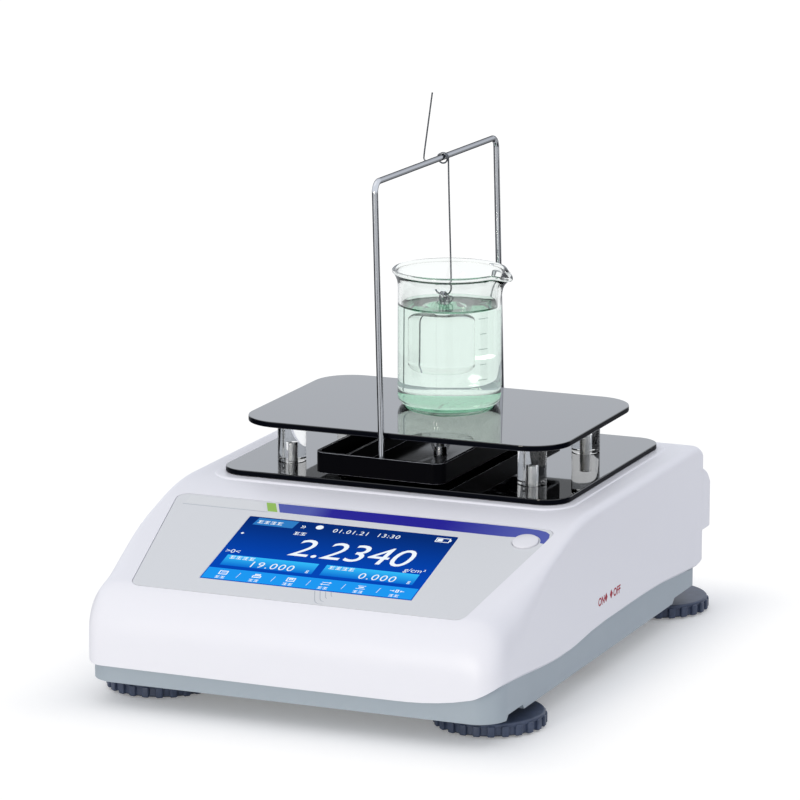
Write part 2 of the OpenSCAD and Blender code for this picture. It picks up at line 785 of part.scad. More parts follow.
// Small board with the button's switch
module button_board() {
    w = button_board_w;
    switch_w = 6;
    switch_h = 3.4;
    color(board_green) on_console() translate([button_x, button_s, -button_board_depth]) {
        translate([-w / 2, -w / 2, -button_board_t]) cube([w, w, button_board_t]);
        translate([-switch_w / 2, -switch_w / 2, 0]) cube([switch_w, switch_w, switch_h]);
        cylinder(r = 1.6, h = button_board_depth - plunger_depth - button_travel - 0.2);
    }
}

module main_board() {
    y = from_front(board_mid);
    color(board_green) difference() {
        union() {
            translate([-main_board_size[0] / 2, y - main_board_size[1] / 2, board_h]) cube(main_board_size);
            // Processor, converter, memory and connectors
            translate([-8, y - 8, board_h + 1.6]) cube([16, 16, 1.6]);
            translate([-45, y + 4, board_h + 1.6]) cube([12, 8, 1.8]);
            translate([26, y - 14, board_h + 1.6]) cube([10, 8, 1.6]);
            for (x = [-44, -20, 14, 38]) translate([x, y + 22, board_h + 1.6]) cube([12, 6, 7]);
            for (x = [-50, -40]) translate([x, y - 18, board_h + 1.6]) cylinder(r = 4, h = 11);
        }
        for (x = [-1, 1], s = [-1, 1])
            translate([x * (main_board_size[0] / 2 - 5), y + s * (main_board_size[1] / 2 - 5), board_h - cut])
                cylinder(r = 1.6, h = 4);
    }
}

module battery_pack() {
    r = battery_size[2] / 2;
    x = battery_size[1] / 2 - r;
    color("#3F6FA8") translate([battery_x - battery_size[0] / 2, from_front(battery_mid), floor_top + gap + r])
        rotate([0, 90, 0]) {
            for (s = [-1, 1]) translate([0, s * x, 0]) cylinder(r = r, h = battery_size[0]);
            translate([-r, -x, 1]) cube([2 * r, 2 * x, battery_size[0] - 2]);
        }
}

module battery_cover() {
    color(grey) translate([battery_x, from_front(battery_mid), floor_h]) {
        round_plate(cover_size[0], cover_size[1], 3 - clear, cover_t);
        translate([0, 0, cover_t])
            round_plate(bay_cut[0] - 1, bay_cut[1] - 1, 2, floor_t - cover_t);
    }
}

// Power inlet: a round barrel with its centre pin
socket_r = 5.5;
module power_socket() {
    l = 14;
    flange_w = 15;
    color(black) translate([socket_x, from_front(depth), connector_h]) rotate([90, 0, 0]) {
        difference() {
            union() {
                cylinder(r = socket_r, h = l);
                translate([-flange_w / 2, -flange_w / 2, hump_wall]) cube([flange_w, flange_w, 2.5]);
            }
            translate([0, 0, -cut]) cylinder(r = 2.9, h = l - 2);
        }
        cylinder(r = 1, h = l);
    }
}

// Serial port: a flange behind the wall, and a D-shaped shell with nine holes
module serial_outline(grow) {
    polygon([[-8.6 - grow, 4 + grow], [8.6 + grow, 4 + grow], [7.4 + grow, -4 - grow], [-7.4 - grow, -4 - grow]]);
}
module serial_port() {
    color(steel) translate([serial_x, from_front(depth), connector_h]) rotate([90, 0, 0]) difference() {
        union() {
            linear_extrude(12) serial_outline(0);
            translate([-15, -6, hump_wall]) cube([30, 12, 3]);
        }
        for (i = [0:4]) translate([-5.5 + 2.75 * i, 1.4, -cut]) cylinder(r = 0.6, h = 7, $fn = 24);
        for (i = [0:3]) translate([-4.1 + 2.75 * i, -1.4, -cut]) cylinder(r = 0.6, h = 7, $fn = 24);
    }
}

// Switch body: a lip under the floor, a box above it, open below for the rocker
module switch_body() {
    top = 14;
    color(black) translate([switch_x, from_front(switch_mid), 0]) difference() {
        union() {
            translate([0, 0, floor_h - switch_lip]) round_plate(switch_w, switch_l, 1.5, switch_lip);
            translate([-switch_cut_w / 2 + gap, -switch_cut_l / 2 + gap, floor_h])
                cube([switch_cut_w - 2 * gap, switch_cut_l - 2 * gap, top]);
            for (s = [-1, 1]) translate([-1, s * 5 - 0.4, floor_h + top - cut]) cube([2, 0.8, 8]);
        }
        translate([-rocker_w / 2 - clear, -rocker_l / 2 - 0.8, floor_h - switch_lip - cut])
            cube([rocker_w + 2 * clear, rocker_l + 1.6, switch_lip + 6 + cut]);
        translate([-switch_cut_w / 2 - cut, 0, rocker_pivot_h]) rotate([0, 90, 0])
            cylinder(r = 1 + play, h = switch_cut_w + 2 * cut);
    }
}

// Rocker, pressed at its front end
module switch_rocker() {
    half = rocker_l / 2;
    color(rubber) translate([switch_x, from_front(switch_mid), rocker_pivot_h]) rotate([rocker_tilt, 0, 0]) {
        rotate([90, 0, 90]) translate([0, 0, -rocker_w / 2]) linear_extrude(rocker_w)
            polygon([[-half + 0.5, 1.6], [-half, -1.2], [-half + 1, -1.9], [0, -2.9], [half - 1, -1.9],
                     [half, -1.2], [half - 0.5, 1.6], [2, 3], [-2, 3]]);
        translate([-rocker_w / 2 - 1.2, 0, 0]) rotate([0, 90, 0]) cylinder(r = 1, h = rocker_w + 2.4);
    }
}

module load_cell_base() {
    color(aluminium) difference() {
        translate([spindle_x - cell_w / 2 - 3, from_front(cell_start + cell_l - 32), floor_top])
            cube([cell_w + 6, 32, cell_block_h]);
        for (d = cell_fixed) translate([spindle_x, from_front(d), floor_top + 2])
            cylinder(r = cell_screw_r, h = cell_block_h);
    }
}

// Single point beam, thinned at its middle by two joined bores
module load_cell() {
    mid = cell_start + cell_l / 2 - 4;
    z = cell_bottom + cell_h / 2;
    color(aluminium) difference() {
        translate([spindle_x - cell_w / 2, from_front(cell_start), cell_bottom]) cube([cell_w, cell_l, cell_h]);
        for (d = [mid - 11, mid + 11]) translate([spindle_x - cell_w, from_front(d), z])
            rotate([0, 90, 0]) cylinder(r = cell_hole_r, h = 2 * cell_w);
        translate([spindle_x - cell_w, from_front(mid - 11), z - 3]) cube([2 * cell_w, 22, 6]);
        for (d = cell_fixed) translate([spindle_x, from_front(d), cell_bottom - cut])
            cylinder(r = cell_screw_r + 0.2, h = cell_h + 2 * cut);
    }
}

module load_cell_screws() {
    color(steel) for (d = cell_fixed) translate([spindle_x, from_front(d), 0]) {
        translate([0, 0, cell_top]) difference() {
            cylinder(r = 4.2, h = 4.6);
            translate([0, 0, 2]) cylinder(r = 2.2, h = 4, $fn = 6);
        }
        translate([0, 0, floor_top + 5]) cylinder(r = cell_screw_r, h = cell_top - floor_top - 5);
    }
}

// Stop under the beam's free end: a block and a screw set just clear of the beam
module overload_stop() {
    color(steel) translate([spindle_x, from_front(spindle_mid), floor_top]) {
        translate([-8, -8, 0]) cube([16, 16, 8]);
        cylinder(r = 3, h = cell_block_h - cell_travel - 0.2);
        translate([0, 0, 8]) cylinder(r = 5, h = 2.4, $fn = 6);
    }
}

// Spindle: a foot on the beam, a cone, a post through the deck and a stud for the nut
module pan_spindle() {
    post_r = spindle_dia / 2;
    stud_top = tray_floor + 8.5;
    color(aluminium) translate([spindle_x, from_front(spindle_mid), 0]) rotate_extrude()
        polygon([[0, cell_top], [12, cell_top], [12, cell_top + 3.5], [post_r + 1.5, cell_top + 6],
                 [post_r, cell_top + 12], [post_r, tray_bottom], [tray_stud_dia / 2, tray_bottom],
                 [tray_stud_dia / 2, stud_top - 0.5], [tray_stud_dia / 2 - 0.5, stud_top], [0, stud_top]]);
}

// Tray and frame share one turned frame of axes, centred between the frame's legs
socket_out_r = rod_dia / 2 + 1.3;
socket_h = 5;
frame_gap = 0.1;
tray_l = frame_span + rod_dia + 2 * (tray_wall + 0.3);
module on_tray() {
    translate([tray_x, from_front(frame_mid), 0]) rotate(-tray_turn) children();
}
// Axes that lean with the frame, from the tray's floor up
frame_x = 1.1;
module on_frame() {
    on_tray() translate([frame_x, 0, tray_floor]) rotate([0, -frame_lean, 0]) children();
}

module weighing_tray() {
    color(black) difference() {
        union() {
            on_tray() translate([0, 0, tray_bottom]) difference() {
                round_plate(tray_w, tray_l, tray_r, tray_wall + tray_h);
                translate([0, 0, tray_wall])
                    round_plate(tray_w - 2 * tray_wall, tray_l - 2 * tray_wall, tray_r - tray_wall, tray_h + cut);
            }
            on_tray() translate([partition_x - 0.6, -tray_l / 2 + 0.5, tray_bottom + 0.5])
                cube([1.2, tray_l - 1, tray_wall + tray_h - 1.5]);
            // Sockets for the frame's legs
            intersection() {
                on_frame() for (s = [-1, 1]) translate([0, s * frame_span / 2, -1])
                    cylinder(r = socket_out_r, h = socket_h + 1);
                on_tray() translate([0, 0, tray_bottom + 0.4])
                    round_plate(tray_w - 1, tray_l - 1, tray_r - 0.5, 20);
            }
        }
        on_frame() for (s = [-1, 1]) translate([0, s * frame_span / 2, 0])
            cylinder(r = rod_dia / 2 + frame_gap, h = 30);
        translate([spindle_x, from_front(spindle_mid), tray_bottom - cut])
            cylinder(r = tray_stud_dia / 2 + play, h = tray_wall + 2 * cut);
    }
}

// Wing nut: a tapered body with two raised wings
module tray_wing_nut() {
    color(steel) translate([spindle_x, from_front(spindle_mid), tray_floor + 0.02]) difference() {
        union() {
            cylinder(r1 = 3.4, r2 = 2.9, h = 4);
            for (a = [20, 200]) rotate([90, 0, a]) translate([0, 0, -0.6]) linear_extrude(1.2) {
                polygon([[1.5, 0.8], [3.2, 1.2], [4.2, 3.2], [4.6, 5.2], [3.2, 5.6], [2.6, 3.6], [1.5, 3.4]]);
                translate([3.9, 5.3]) circle(1);
            }
        }
        translate([0, 0, -cut]) cylinder(r = tray_stud_dia / 2 + play, h = 8);
    }
}

module deck_plate() {
    color(black) difference() {
        translate([0, from_front(deck_mid), deck_h]) round_plate(deck_w, deck_d, deck_r, plate_t);
        translate([spindle_x, from_front(spindle_mid), deck_h - cut])
            cylinder(r = spindle_dia / 2 + 3, h = plate_t + 2 * cut);
        for (p = leg_places) translate([p[0], p[1], deck_h - cut])
            cylinder(r = leg_screw_r + 0.2, h = plate_t + 2 * cut);
    }
}

module platform_plate() {
    color(black) translate([0, from_front(platform_mid), platform_h])
        round_plate(platform_w, platform_d, platform_r, plate_t);
}

// Clear leg with a blind bore for its screw
leg_screw_r = 2;
leg_screw_l = 9;
module platform_leg(i) {
    color(clear_plastic) translate([leg_places[i][0], leg_places[i][1], deck_top]) difference() {
        rotate_extrude() polygon([[0, 0], [leg_dia / 2 - 0.4, 0], [leg_dia / 2, 0.4],
                                  [leg_dia / 2, leg_h - 0.4], [leg_dia / 2 - 0.4, leg_h], [0, leg_h]]);
        translate([0, 0, -cut]) cylinder(r = leg_screw_r, h = leg_screw_l + cut + 0.5);
    }
}

module leg_screws() {
    head_h = crown_h - shell_wall;
    color(steel) for (p = leg_places) translate([p[0], p[1], 0]) {
        translate([0, 0, head_h]) cylinder(r = leg_screw_r, h = deck_top + leg_screw_l - head_h);
        translate([0, 0, head_h - 3]) cylinder(r = 4, h = 3);
    }
}

// Frame: two legs, two bends and a bar, all of one rod
module hanger_frame() {
    r = rod_dia / 2;
    bar_z = (bar_h - tray_floor) / cos(frame_lean);
    half = frame_span / 2;
    color(steel) on_frame() {
        for (s = [-1, 1]) {
            translate([0, s * half, 0.2]) cylinder(r = r, h = bar_z - frame_bend_r - 0.2);
            translate([0, s * (half - frame_bend_r), bar_z - frame_bend_r])
                rotate([90, 0, s > 0 ? 90 : -90]) rotate_extrude(angle = 90) translate([frame_bend_r, 0]) circle(r);
        }
        translate([0, -half + frame_bend_r, bar_z]) rotate([-90, 0, 0])
            cylinder(r = r, h = frame_span - 2 * frame_bend_r);
    }
}

// Place of the bar where the wire loops round it
bar_x = tray_x + (frame_x - (bar_h - tray_floor) * tan(frame_lean)) * cos(tray_turn)
    + (wire_mid - frame_mid) * sin(tray_turn);
wire_r = wire_dia / 2;
loop_gap = 0.6;
loop_r = rod_dia / 2 + wire_r + loop_gap;
// The loop hangs on the bar, so its middle lies lower
loop_h = bar_h - loop_gap + 0.12;
loop_turns = 1.5;
loop_steps = 24;
loop_lead = 2.2;
sinker_x = -5.3;
hook_x = sinker_x + hook_r;
hook_flare = 1.2;
hook_lip = 2.4;

// Points along the wire from the hook's tip, down round the hook, up to the loop, out to the tail
// and up it, as [x, y, z] with y measured from the wire's plane
hook_points = [
    for (i = [0:10])
        let (t = 180 - 18 * i, wide = t > 90 ? hook_r + hook_flare : hook_r, high = t > 90 ? hook_lip : hook_r)
        [sinker_x + wide * cos(t), 0, hook_h + high * (1 - sin(t))]
];
loop_points = [
    for (i = [0:loop_steps])
        let (t = 360 * loop_turns * i / loop_steps)
        [bar_x + loop_r * cos(t), -loop_lead * i / loop_steps, loop_h + loop_r * sin(t)]
];
// Each point of the tail is its distance to the left of the bar and its height above the loop's middle
tail_points = [
    for (p = [[loop_r + 0.5, -1.5], [loop_r + 1.8, -2.2], [tail_x - 2, -2.4], [tail_x - 0.8, -1.9],
              [tail_x - 0.1, -0.9], [tail_x, 0.3], [tail_x - tail_lean, tail_l - wire_r]])
        [bar_x - p[0], -loop_lead, loop_h + p[1]]
];

module hanger_wire() {
    color(steel) translate([0, from_front(wire_mid), 0])
        tube(concat(hook_points, [[hook_x, 0, hook_h + hook_r + 2]], loop_points, tail_points), wire_r, 8);
}

function unit(v) = v / norm(v);
// Directions of the tube's rings, and a side vector carried from ring to ring
function tangents(p) = [
    for (i = [0:len(p) - 1]) unit(p[min(i + 1, len(p) - 1)] - p[max(i - 1, 0)])
];
function carried(t, i, side) =
    i == len(t) ? []
    : let (s = unit(side - (side * t[i]) * t[i])) concat([s], carried(t, i + 1, s));
module tube(p, r, sides) {
    t = tangents(p);
    side = carried(t, 0, [0.1, 1, 0.2]);
    rings = [
        for (i = [0:len(p) - 1], k = [0:sides - 1])
            p[i] + r * (side[i] * cos(360 * k / sides) + cross(t[i], side[i]) * sin(360 * k / sides))
    ];
    last = (len(p) - 1) * sides;
    polyhedron(rings, concat(
        [[for (k = [0:sides - 1]) k]],
        [[for (k = [sides - 1:-1:0]) last + k]],
        [for (i = [0:len(p) - 2], k = [0:sides - 1])
            let (a = i * sides + k, b = i * sides + (k + 1) % sides, c = a + sides, d = b + sides)
            each [[a, c, b], [b, c, d]]]
    ));
}

// Sinker: a closed glass bulb, its neck and a ring that hangs in the hook
ring_r = 2.2;
ring_wire_r = 0.75;
ring_h = hook_h + wire_r + ring_wire_r + 0.1 - ring_r;
neck_l = 5.5;
sinker_top = ring_h - ring_r - neck_l;
module sinker() {
    r = sinker_dia / 2;
    edge = 4;
    low = sinker_top - sinker_l;
    color(glass) translate([sinker_x, from_front(wire_mid), 0]) {
        rotate_extrude() union() {
            polygon([[0, low], [r - edge, low], [r - edge, low + edge], [r, low + edge],
                     [r, sinker_top - edge], [r - edge, sinker_top - edge], [r - edge, sinker_top],
                     [2.6, sinker_top], [1.5, sinker_top + 2.5], [1.3, ring_h - ring_r], [0, ring_h - ring_r]]);
            translate([r - edge, low + edge]) circle(edge);
            translate([r - edge, sinker_top - edge]) circle(edge);
        }
        translate([0, 0, ring_h]) rotate([0, 90, 0]) rotate_extrude() translate([ring_r, 0]) circle(ring_wire_r);
    }
}

// Beaker: a lofted wall whose rim flares all round and runs out into a spout on the right
spout_half_angle = 24;
beaker_angles = [for (i = [0:47]) 7.5 * i];
function spout(a) = let (u = min(a, 360 - a) / spout_half_angle) u >= 1 ? 0 : pow(cos(90 * u), 2);
flare_start = beaker_h - 9;
function flare(z) = pow(max(0, (z - flare_start) / (beaker_h - flare_start)), 2);
spout_start = beaker_h - 20;
function spout_out(z) = pow(max(0, (z - spout_start) / (beaker_h - spout_start)), 1.6);
base_round = 5;
function base_in(z) = base_round * fall(1 - z / base_round, 2);
function beaker_r(a, z) =
    beaker_dia / 2 - base_in(z) + rim_flare * flare(z) + (spout_reach + 1.2) * spout(a) * spout_out(z);
beaker_outer_z = [0, 0.4, 1.4, 3, base_round, 16, 30, spout_start, 53, 57, flare_start + 2, 64, 66.4, beaker_h];
beaker_floor = 2.2;
beaker_inner_z = [beaker_h, 66.6, 64.2, flare_start + 2, 57, 53, spout_start, 30, 16, 7.2, 4.6, 3, beaker_floor];
function beaker_ring(z, wall) = [
    for (a = beaker_angles)
        let (r = wall > 0 ? beaker_r(a, max(z, base_round)) - wall - 3.4 * fall(1 - (z - beaker_floor) / 5, 2)
                 : beaker_r(a, z))
        [r * cos(a), r * sin(a), z]
];
module beaker() {
    n = len(beaker_angles);
    rings = concat([for (z = beaker_outer_z) beaker_ring(z, 0)], [for (z = beaker_inner_z) beaker_ring(z, beaker_wall)]);
    last = (len(rings) - 1) * n;
    color(glass) translate([beaker_x, from_front(beaker_mid), platform_top]) polyhedron(flatten(rings), concat(
        [[for (k = [0:n - 1]) k]],
        [[for (k = [n - 1:-1:0]) last + k]],
        [for (i = [0:len(rings) - 2], k = [0:n - 1])
            let (a = i * n + k, b = i * n + (k + 1) % n, c = a + n, d = b + n)
            each [[a, c, b], [b, c, d]]]
    ));
}

module housing_screws() {
    color(steel) for (p = screw_places) translate([p[0], from_front(p[1]), floor_h + 0.2]) {
        difference() {
            cylinder(r = screw_head_r, h = screw_head_t);
            translate([0, 0, -cut]) cylinder(r = 1.4, h = cut + 1.2, $fn = 6);
        }
        cylinder(r = screw_r, h = 18);
    }
}

base_pan();
upper_housing();
panel_overlay();
touch_screen();
display_module();
button_board();
power_button();
main_board();
battery_pack();
battery_cover();
power_socket();
serial_port();
switch_body();
switch_rocker();
load_cell_base();
load_cell();
load_cell_screws();
overload_stop();
pan_spindle();
weighing_tray();
tray_wing_nut();
deck_plate();
platform_plate();
platform_leg(0);  // platform_leg_fl
platform_leg(1);  // platform_leg_fr
platform_leg(2);  // platform_leg_rl
platform_leg(3);  // platform_leg_rr
leg_screws();
hanger_frame();
hanger_wire();
sinker();
beaker();
foot_inserts();
foot_sole(0);  // foot_sole_fl
foot_sole(1);  // foot_sole_fr
foot_sole(2);  // foot_sole_rl
foot_sole(3);  // foot_sole_rr
foot_knob(0);  // foot_knob_fl
foot_knob(1);  // foot_knob_fr
foot_knob(2);  // foot_knob_rl
foot_knob(3);  // foot_knob_rr
housing_screws();
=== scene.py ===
import json
from collections import namedtuple
from math import atan2, cos, hypot, pi, radians, sin, sqrt, tan, tau

import bmesh
import bpy
from mathutils import Matrix, Vector

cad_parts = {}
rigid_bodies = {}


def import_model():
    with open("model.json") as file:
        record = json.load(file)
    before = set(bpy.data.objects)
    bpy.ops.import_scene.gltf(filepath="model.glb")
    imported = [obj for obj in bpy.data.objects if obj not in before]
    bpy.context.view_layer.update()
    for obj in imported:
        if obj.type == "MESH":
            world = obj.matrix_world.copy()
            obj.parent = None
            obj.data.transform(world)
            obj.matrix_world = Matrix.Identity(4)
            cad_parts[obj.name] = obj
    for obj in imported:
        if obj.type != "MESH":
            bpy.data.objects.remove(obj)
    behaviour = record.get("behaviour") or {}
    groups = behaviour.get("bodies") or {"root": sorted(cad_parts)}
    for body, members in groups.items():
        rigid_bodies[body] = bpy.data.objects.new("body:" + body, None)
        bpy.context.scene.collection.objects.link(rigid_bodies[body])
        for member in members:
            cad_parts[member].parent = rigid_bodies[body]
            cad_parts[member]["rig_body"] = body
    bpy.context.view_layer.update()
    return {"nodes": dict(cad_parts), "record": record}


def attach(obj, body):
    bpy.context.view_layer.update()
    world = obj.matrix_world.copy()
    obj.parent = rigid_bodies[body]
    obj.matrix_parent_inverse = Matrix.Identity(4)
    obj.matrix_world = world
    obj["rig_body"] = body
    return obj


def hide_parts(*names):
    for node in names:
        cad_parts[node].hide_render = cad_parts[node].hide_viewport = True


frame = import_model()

bl_info = {
    "name": "Digital density meter",
    "version": (1, 0, 0),
    "blender": (4, 5, 0),
    "location": "View3D > Sidebar > Density meter",
    "description": "Builds the looks of a bench density meter round its packed frame",
    "category": "Object",
}

# Lengths in the pieces below are in millimetres; piece() turns a mesh to metres.
MM = 0.001
# The object's front face, and the plane of the console
FRONT = -150.0
CONSOLE_H = 54.6
CONSOLE_ANGLE = 16.0
# Heights above the bench
DECK_H = 85.9
CROWN_H = 85.4
PLATE_T = 2.9
LEG_H = 20.4
PLATFORM_TOP = DECK_H + PLATE_T + LEG_H + PLATE_T
TRAY_FLOOR = 92.6
# Middle of the spindle's hole, of the feet from the front face, and of the button in the console's plane
SPINDLE = (5.5, 25.0)
FOOT_X, FOOT_FRONT, FOOT_REAR = 83.6, 45.0, 271.6
BUTTON = (86.1, 85.3)
# How far the sheet and the glass lie below the console's plane
GLASS_SINK = 0.25
# Height of a print over the surface that carries it
PRINT_T = 0.03


# Shared tools


def srgb(code):
    """A colour written as #RRGGBB, as linear red, green, blue and alpha."""
    parts = [int(code[i : i + 2], 16) / 255 for i in (1, 3, 5)]
    linear = [c / 12.92 if c <= 0.04045 else ((c + 0.055) / 1.055) ** 2.4 for c in parts]
    return (*linear, 1.0)


def add(tree, kind, sockets=None, **settings):
    """Adds a node with its settings. A socket's value is a number, a colour or the output that feeds it."""
    node = tree.nodes.new("ShaderNode" + kind)
    for key, value in settings.items():
        setattr(node, key, value)
    for key, value in (sockets or {}).items():
        if isinstance(value, bpy.types.NodeSocket):
            tree.links.new(value, node.inputs[key])
        else:
            node.inputs[key].default_value = value
    return node


# A material in the making, with its node tree, its shader and its object coordinates in metres
Look = namedtuple("Look", "made tree shader place")


def finish(name, colour, roughness, **sockets):
    """A new material, with the values of its shader's sockets."""
    made = bpy.data.materials.new(name)
    made.use_nodes = True
    tree = made.node_tree
    tree.nodes.clear()
    shader = add(tree, "BsdfPrincipled", {"Base Color": colour, "Roughness": roughness})
    for key, value in sockets.items():
        shader.inputs[key.replace("_", " ")].default_value = value
    add(tree, "OutputMaterial", {"Surface": shader.outputs[0]})
    made.diffuse_color = colour
    return Look(made, tree, shader, add(tree, "TexCoord").outputs["Object"])


def clouds(look, size, detail, stretch):
    """A cloudy pattern of a size in millimetres; stretch draws it out along an axis."""
    fitted = add(look.tree, "Mapping", {"Vector": look.place, "Scale": stretch}).outputs[0]
    pattern = {"Vector": fitted, "Scale": 1 / (size * MM), "Detail": detail}
    return add(look.tree, "TexNoise", pattern).outputs[0]


def grain(look, size, depth, stretch=(1, 1, 1), detail=2.0):
    """Bumps of a size and depth in millimetres."""
    height = clouds(look, size, detail, stretch)
    bump = add(look.tree, "Bump", {"Height": height, "Distance": depth * MM, "Strength": 1.0})
    look.tree.links.new(bump.outputs[0], look.shader.inputs["Normal"])


def vary(look, socket, low, high, size, stretch=(1, 1, 1)):
    """Lets a value or colour of the shader wander between low and high, over patches of a size in mm."""
    value = clouds(look, size, 3.0, stretch)
    share = add(look.tree, "MapRange", {"Value": value, "From Min": 0.3, "From Max": 0.7}).outputs[0]
    if isinstance(low, tuple):
        run = add(look.tree, "Mix", {"Factor": share, "A": low, "B": high}, data_type="RGBA")
    else:
        run = add(look.tree, "MapRange", {"Value": share, "To Min": low, "To Max": high})
    look.tree.links.new(run.outputs["Result"], look.shader.inputs[socket])


def mesh_of(bm, name="part"):
    mesh = bpy.data.meshes.new(name)
    bm.to_mesh(mesh)
    bm.free()
    return mesh


def linked(name, data):
    made = bpy.data.objects.new(name, data)
    bpy.context.scene.collection.objects.link(made)
    return made


def piece(
    name, bm, material, body, slot, *replaced, unit=MM, sharp=35, edge=0.0, steps=2, sides=None, rim=None
):
    """Makes an object of a mesh in millimetres, smooth apart from its sharp edges, and sets it on its body.
    Upright faces get the sides' material where there is one, and rounded edges the rim's."""
    bmesh.ops.scale(bm, vec=(unit, unit, unit), verts=bm.verts)
    bm.normal_update()
    for face in bm.faces:
        face.material_index = 1 if sides and abs(face.normal.z) < 0.3 else 0
    mesh = mesh_of(bm, name)
    for skin in filter(None, (material, sides, rim)):
        mesh.materials.append(skin)
    made = linked(name, mesh)
    if edge:
        soft = made.modifiers.new("Soft edges", "BEVEL")
        soft.width = edge * MM
        soft.segments = steps
        soft.limit_method = "ANGLE"
        soft.angle_limit = radians(sharp)
        soft.harden_normals = True
        if rim:
            soft.material = len(mesh.materials) - 1
    mesh.shade_smooth()
    mesh.set_sharp_from_angle(angle=radians(sharp))
    if not edge:
        weighted = made.modifiers.new("Weighted normals", "WEIGHTED_NORMAL")
        weighted.keep_sharp = True
    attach(made, body)
    if replaced:
        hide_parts(*replaced)
    return made


def shift(bm, *way):
    bmesh.ops.translate(bm, vec=way, verts=bm.verts)


def carry(bm, matrix):
    bmesh.ops.transform(bm, matrix=matrix, verts=bm.verts)


def bevelled(bm, edges, offset, segments):
    """Rounds the edges by an offset in millimetres."""
    bmesh.ops.bevel(
        bm,
        geom=edges,
        offset=offset,
        offset_type="OFFSET",
        segments=segments,
        profile=0.5,
        affect="EDGES",
        material=-1,
    )


def closed(bm, distance=1e-4):
    """Closes seams and poles, then turns the faces outwards."""
    bmesh.ops.remove_doubles(bm, verts=bm.verts, dist=distance)
    bmesh.ops.recalc_face_normals(bm, faces=bm.faces)


def capped(bm):
    """Closes a tube's seam and its open ends."""
    closed(bm)
    bmesh.ops.holes_fill(bm, edges=[e for e in bm.edges if e.is_boundary], sides=0)
    bmesh.ops.recalc_face_normals(bm, faces=bm.faces)


def cloth_of_rings(bm, rings):
    """A grid whose rows are moved to the rings of points."""
    rows, columns = len(rings), len(rings[0])
    grid = bmesh.ops.create_grid(bm, x_segments=columns - 1, y_segments=rows - 1, size=1)
    places = [point for ring in rings for point in ring]
    for vert, point in zip(grid["verts"], places):
        vert.co = point
    return grid["verts"]


def slab(bm, outline, low, high):
    """A flat outline of points in X and Y, drawn up from one height to another."""
    verts = [bm.verts.new((x, y, low)) for x, y in outline]
    edges = [bm.edges.new(pair) for pair in zip(verts, verts[1:] + verts[:1])]
    face = bmesh.ops.contextual_create(bm, geom=edges)["faces"]
    raised = bmesh.ops.extrude_face_region(bm, geom=face)["geom"]
    top = [g for g in raised if isinstance(g, bmesh.types.BMVert)]
    bmesh.ops.translate(bm, vec=(0, 0, high - low), verts=top)
    return verts + top


def corner(x, y, radius, start, steps=10):
    """A quarter circle of points, from an angle in degrees."""
    angles = [radians(start + 90 * i / steps) for i in range(steps + 1)]
    return [(x + radius * cos(a), y + radius * sin(a)) for a in angles]


def rounded(width, length, radius, steps=10, middle=(0, 0)):
    """The outline of a rectangle with round corners."""
    x, y = width / 2 - radius, length / 2 - radius
    places = [(x, y, 0), (-x, y, 90), (-x, -y, 180), (x, -y, 270)]
    return [
        (middle[0] + px, middle[1] + py)
        for cx, cy, start in places
        for px, py in corner(cx, cy, radius, start, steps)
    ]


def lathe(bm, profile, middle=(0, 0), steps=64):
    """Spins a profile of radius and height round an upright axis."""
    verts = [bm.verts.new((middle[0] + r, middle[1], z)) for r, z in profile]
    edges = [bm.edges.new(pair) for pair in zip(verts, verts[1:])]
    bmesh.ops.spin(
        bm,
        geom=verts + edges,
        cent=(*middle, 0),
        axis=(0, 0, 1),
        angle=tau,
        steps=steps,
        use_merge=True,
        use_normal_flip=False,
        use_duplicate=False,
    )
    closed(bm)


def arc(x, z, radius, start, end, steps):
    """Points of a profile's round edge, between two angles in degrees."""
    angles = [radians(start + (end - start) * i / steps) for i in range(steps + 1)]
    return [(x + radius * cos(a), z + radius * sin(a)) for a in angles]


def console_matrix():
    """Takes millimetres across, up the slope and out of the console's plane to the object's own."""
    turn = Matrix.Rotation(radians(CONSOLE_ANGLE), 4, "X")
    return Matrix.Translation((0, FRONT, CONSOLE_H)) @ turn


def baked(obj):
    """The mesh of an object after its modifiers, with the object itself taken away."""
    bpy.context.view_layer.update()
    graph = bpy.context.evaluated_depsgraph_get()
    mesh = bpy.data.meshes.new_from_object(obj.evaluated_get(graph), depsgraph=graph)
    data = obj.data
    bpy.data.objects.remove(obj)
    if data.users == 0 and isinstance(data, bpy.types.Curve):
        bpy.data.curves.remove(data)
    return mesh


def tube(bm, points, radius, kind="NURBS", resolution=6, around=5):
    """A round wire through the points."""
    curve = bpy.data.curves.new("wire", "CURVE")
    curve.dimensions = "3D"
    spline = curve.splines.new(kind)
    spline.points.add(len(points) - 1)
    for control, point in zip(spline.points, points):
        control.co = (*point, 1)
    if kind == "NURBS":
        spline.order_u = 3
        spline.use_endpoint_u = True
    spline.resolution_u = resolution
    curve.bevel_depth = radius
    curve.bevel_resolution = around
    curve.use_fill_caps = True
    mesh = baked(linked("wire", curve))
    bm.from_mesh(mesh)
    bpy.data.meshes.remove(mesh)


def write(bm, words, size, place, shear=0.0, spread=1.0, weight=0.0):
    """Adds lettering of a height in millimetres as a thin mesh, from its lower left corner."""
    text = bpy.data.curves.new("words", "FONT")
    text.body = words
    # A capital of the built-in face is 0.73 of its size
    text.size = size / 0.73
    text.shear = shear
    text.space_character = spread
    text.offset = weight
    text.extrude = PRINT_T / 2
    text.resolution_u = 4
    mesh = baked(linked("words", text))
    mesh.transform(Matrix.Translation((*place, PRINT_T / 2)))
    bm.from_mesh(mesh)
    bpy.data.meshes.remove(mesh)


def solid_of(bm):
    return linked("solid", mesh_of(bm))


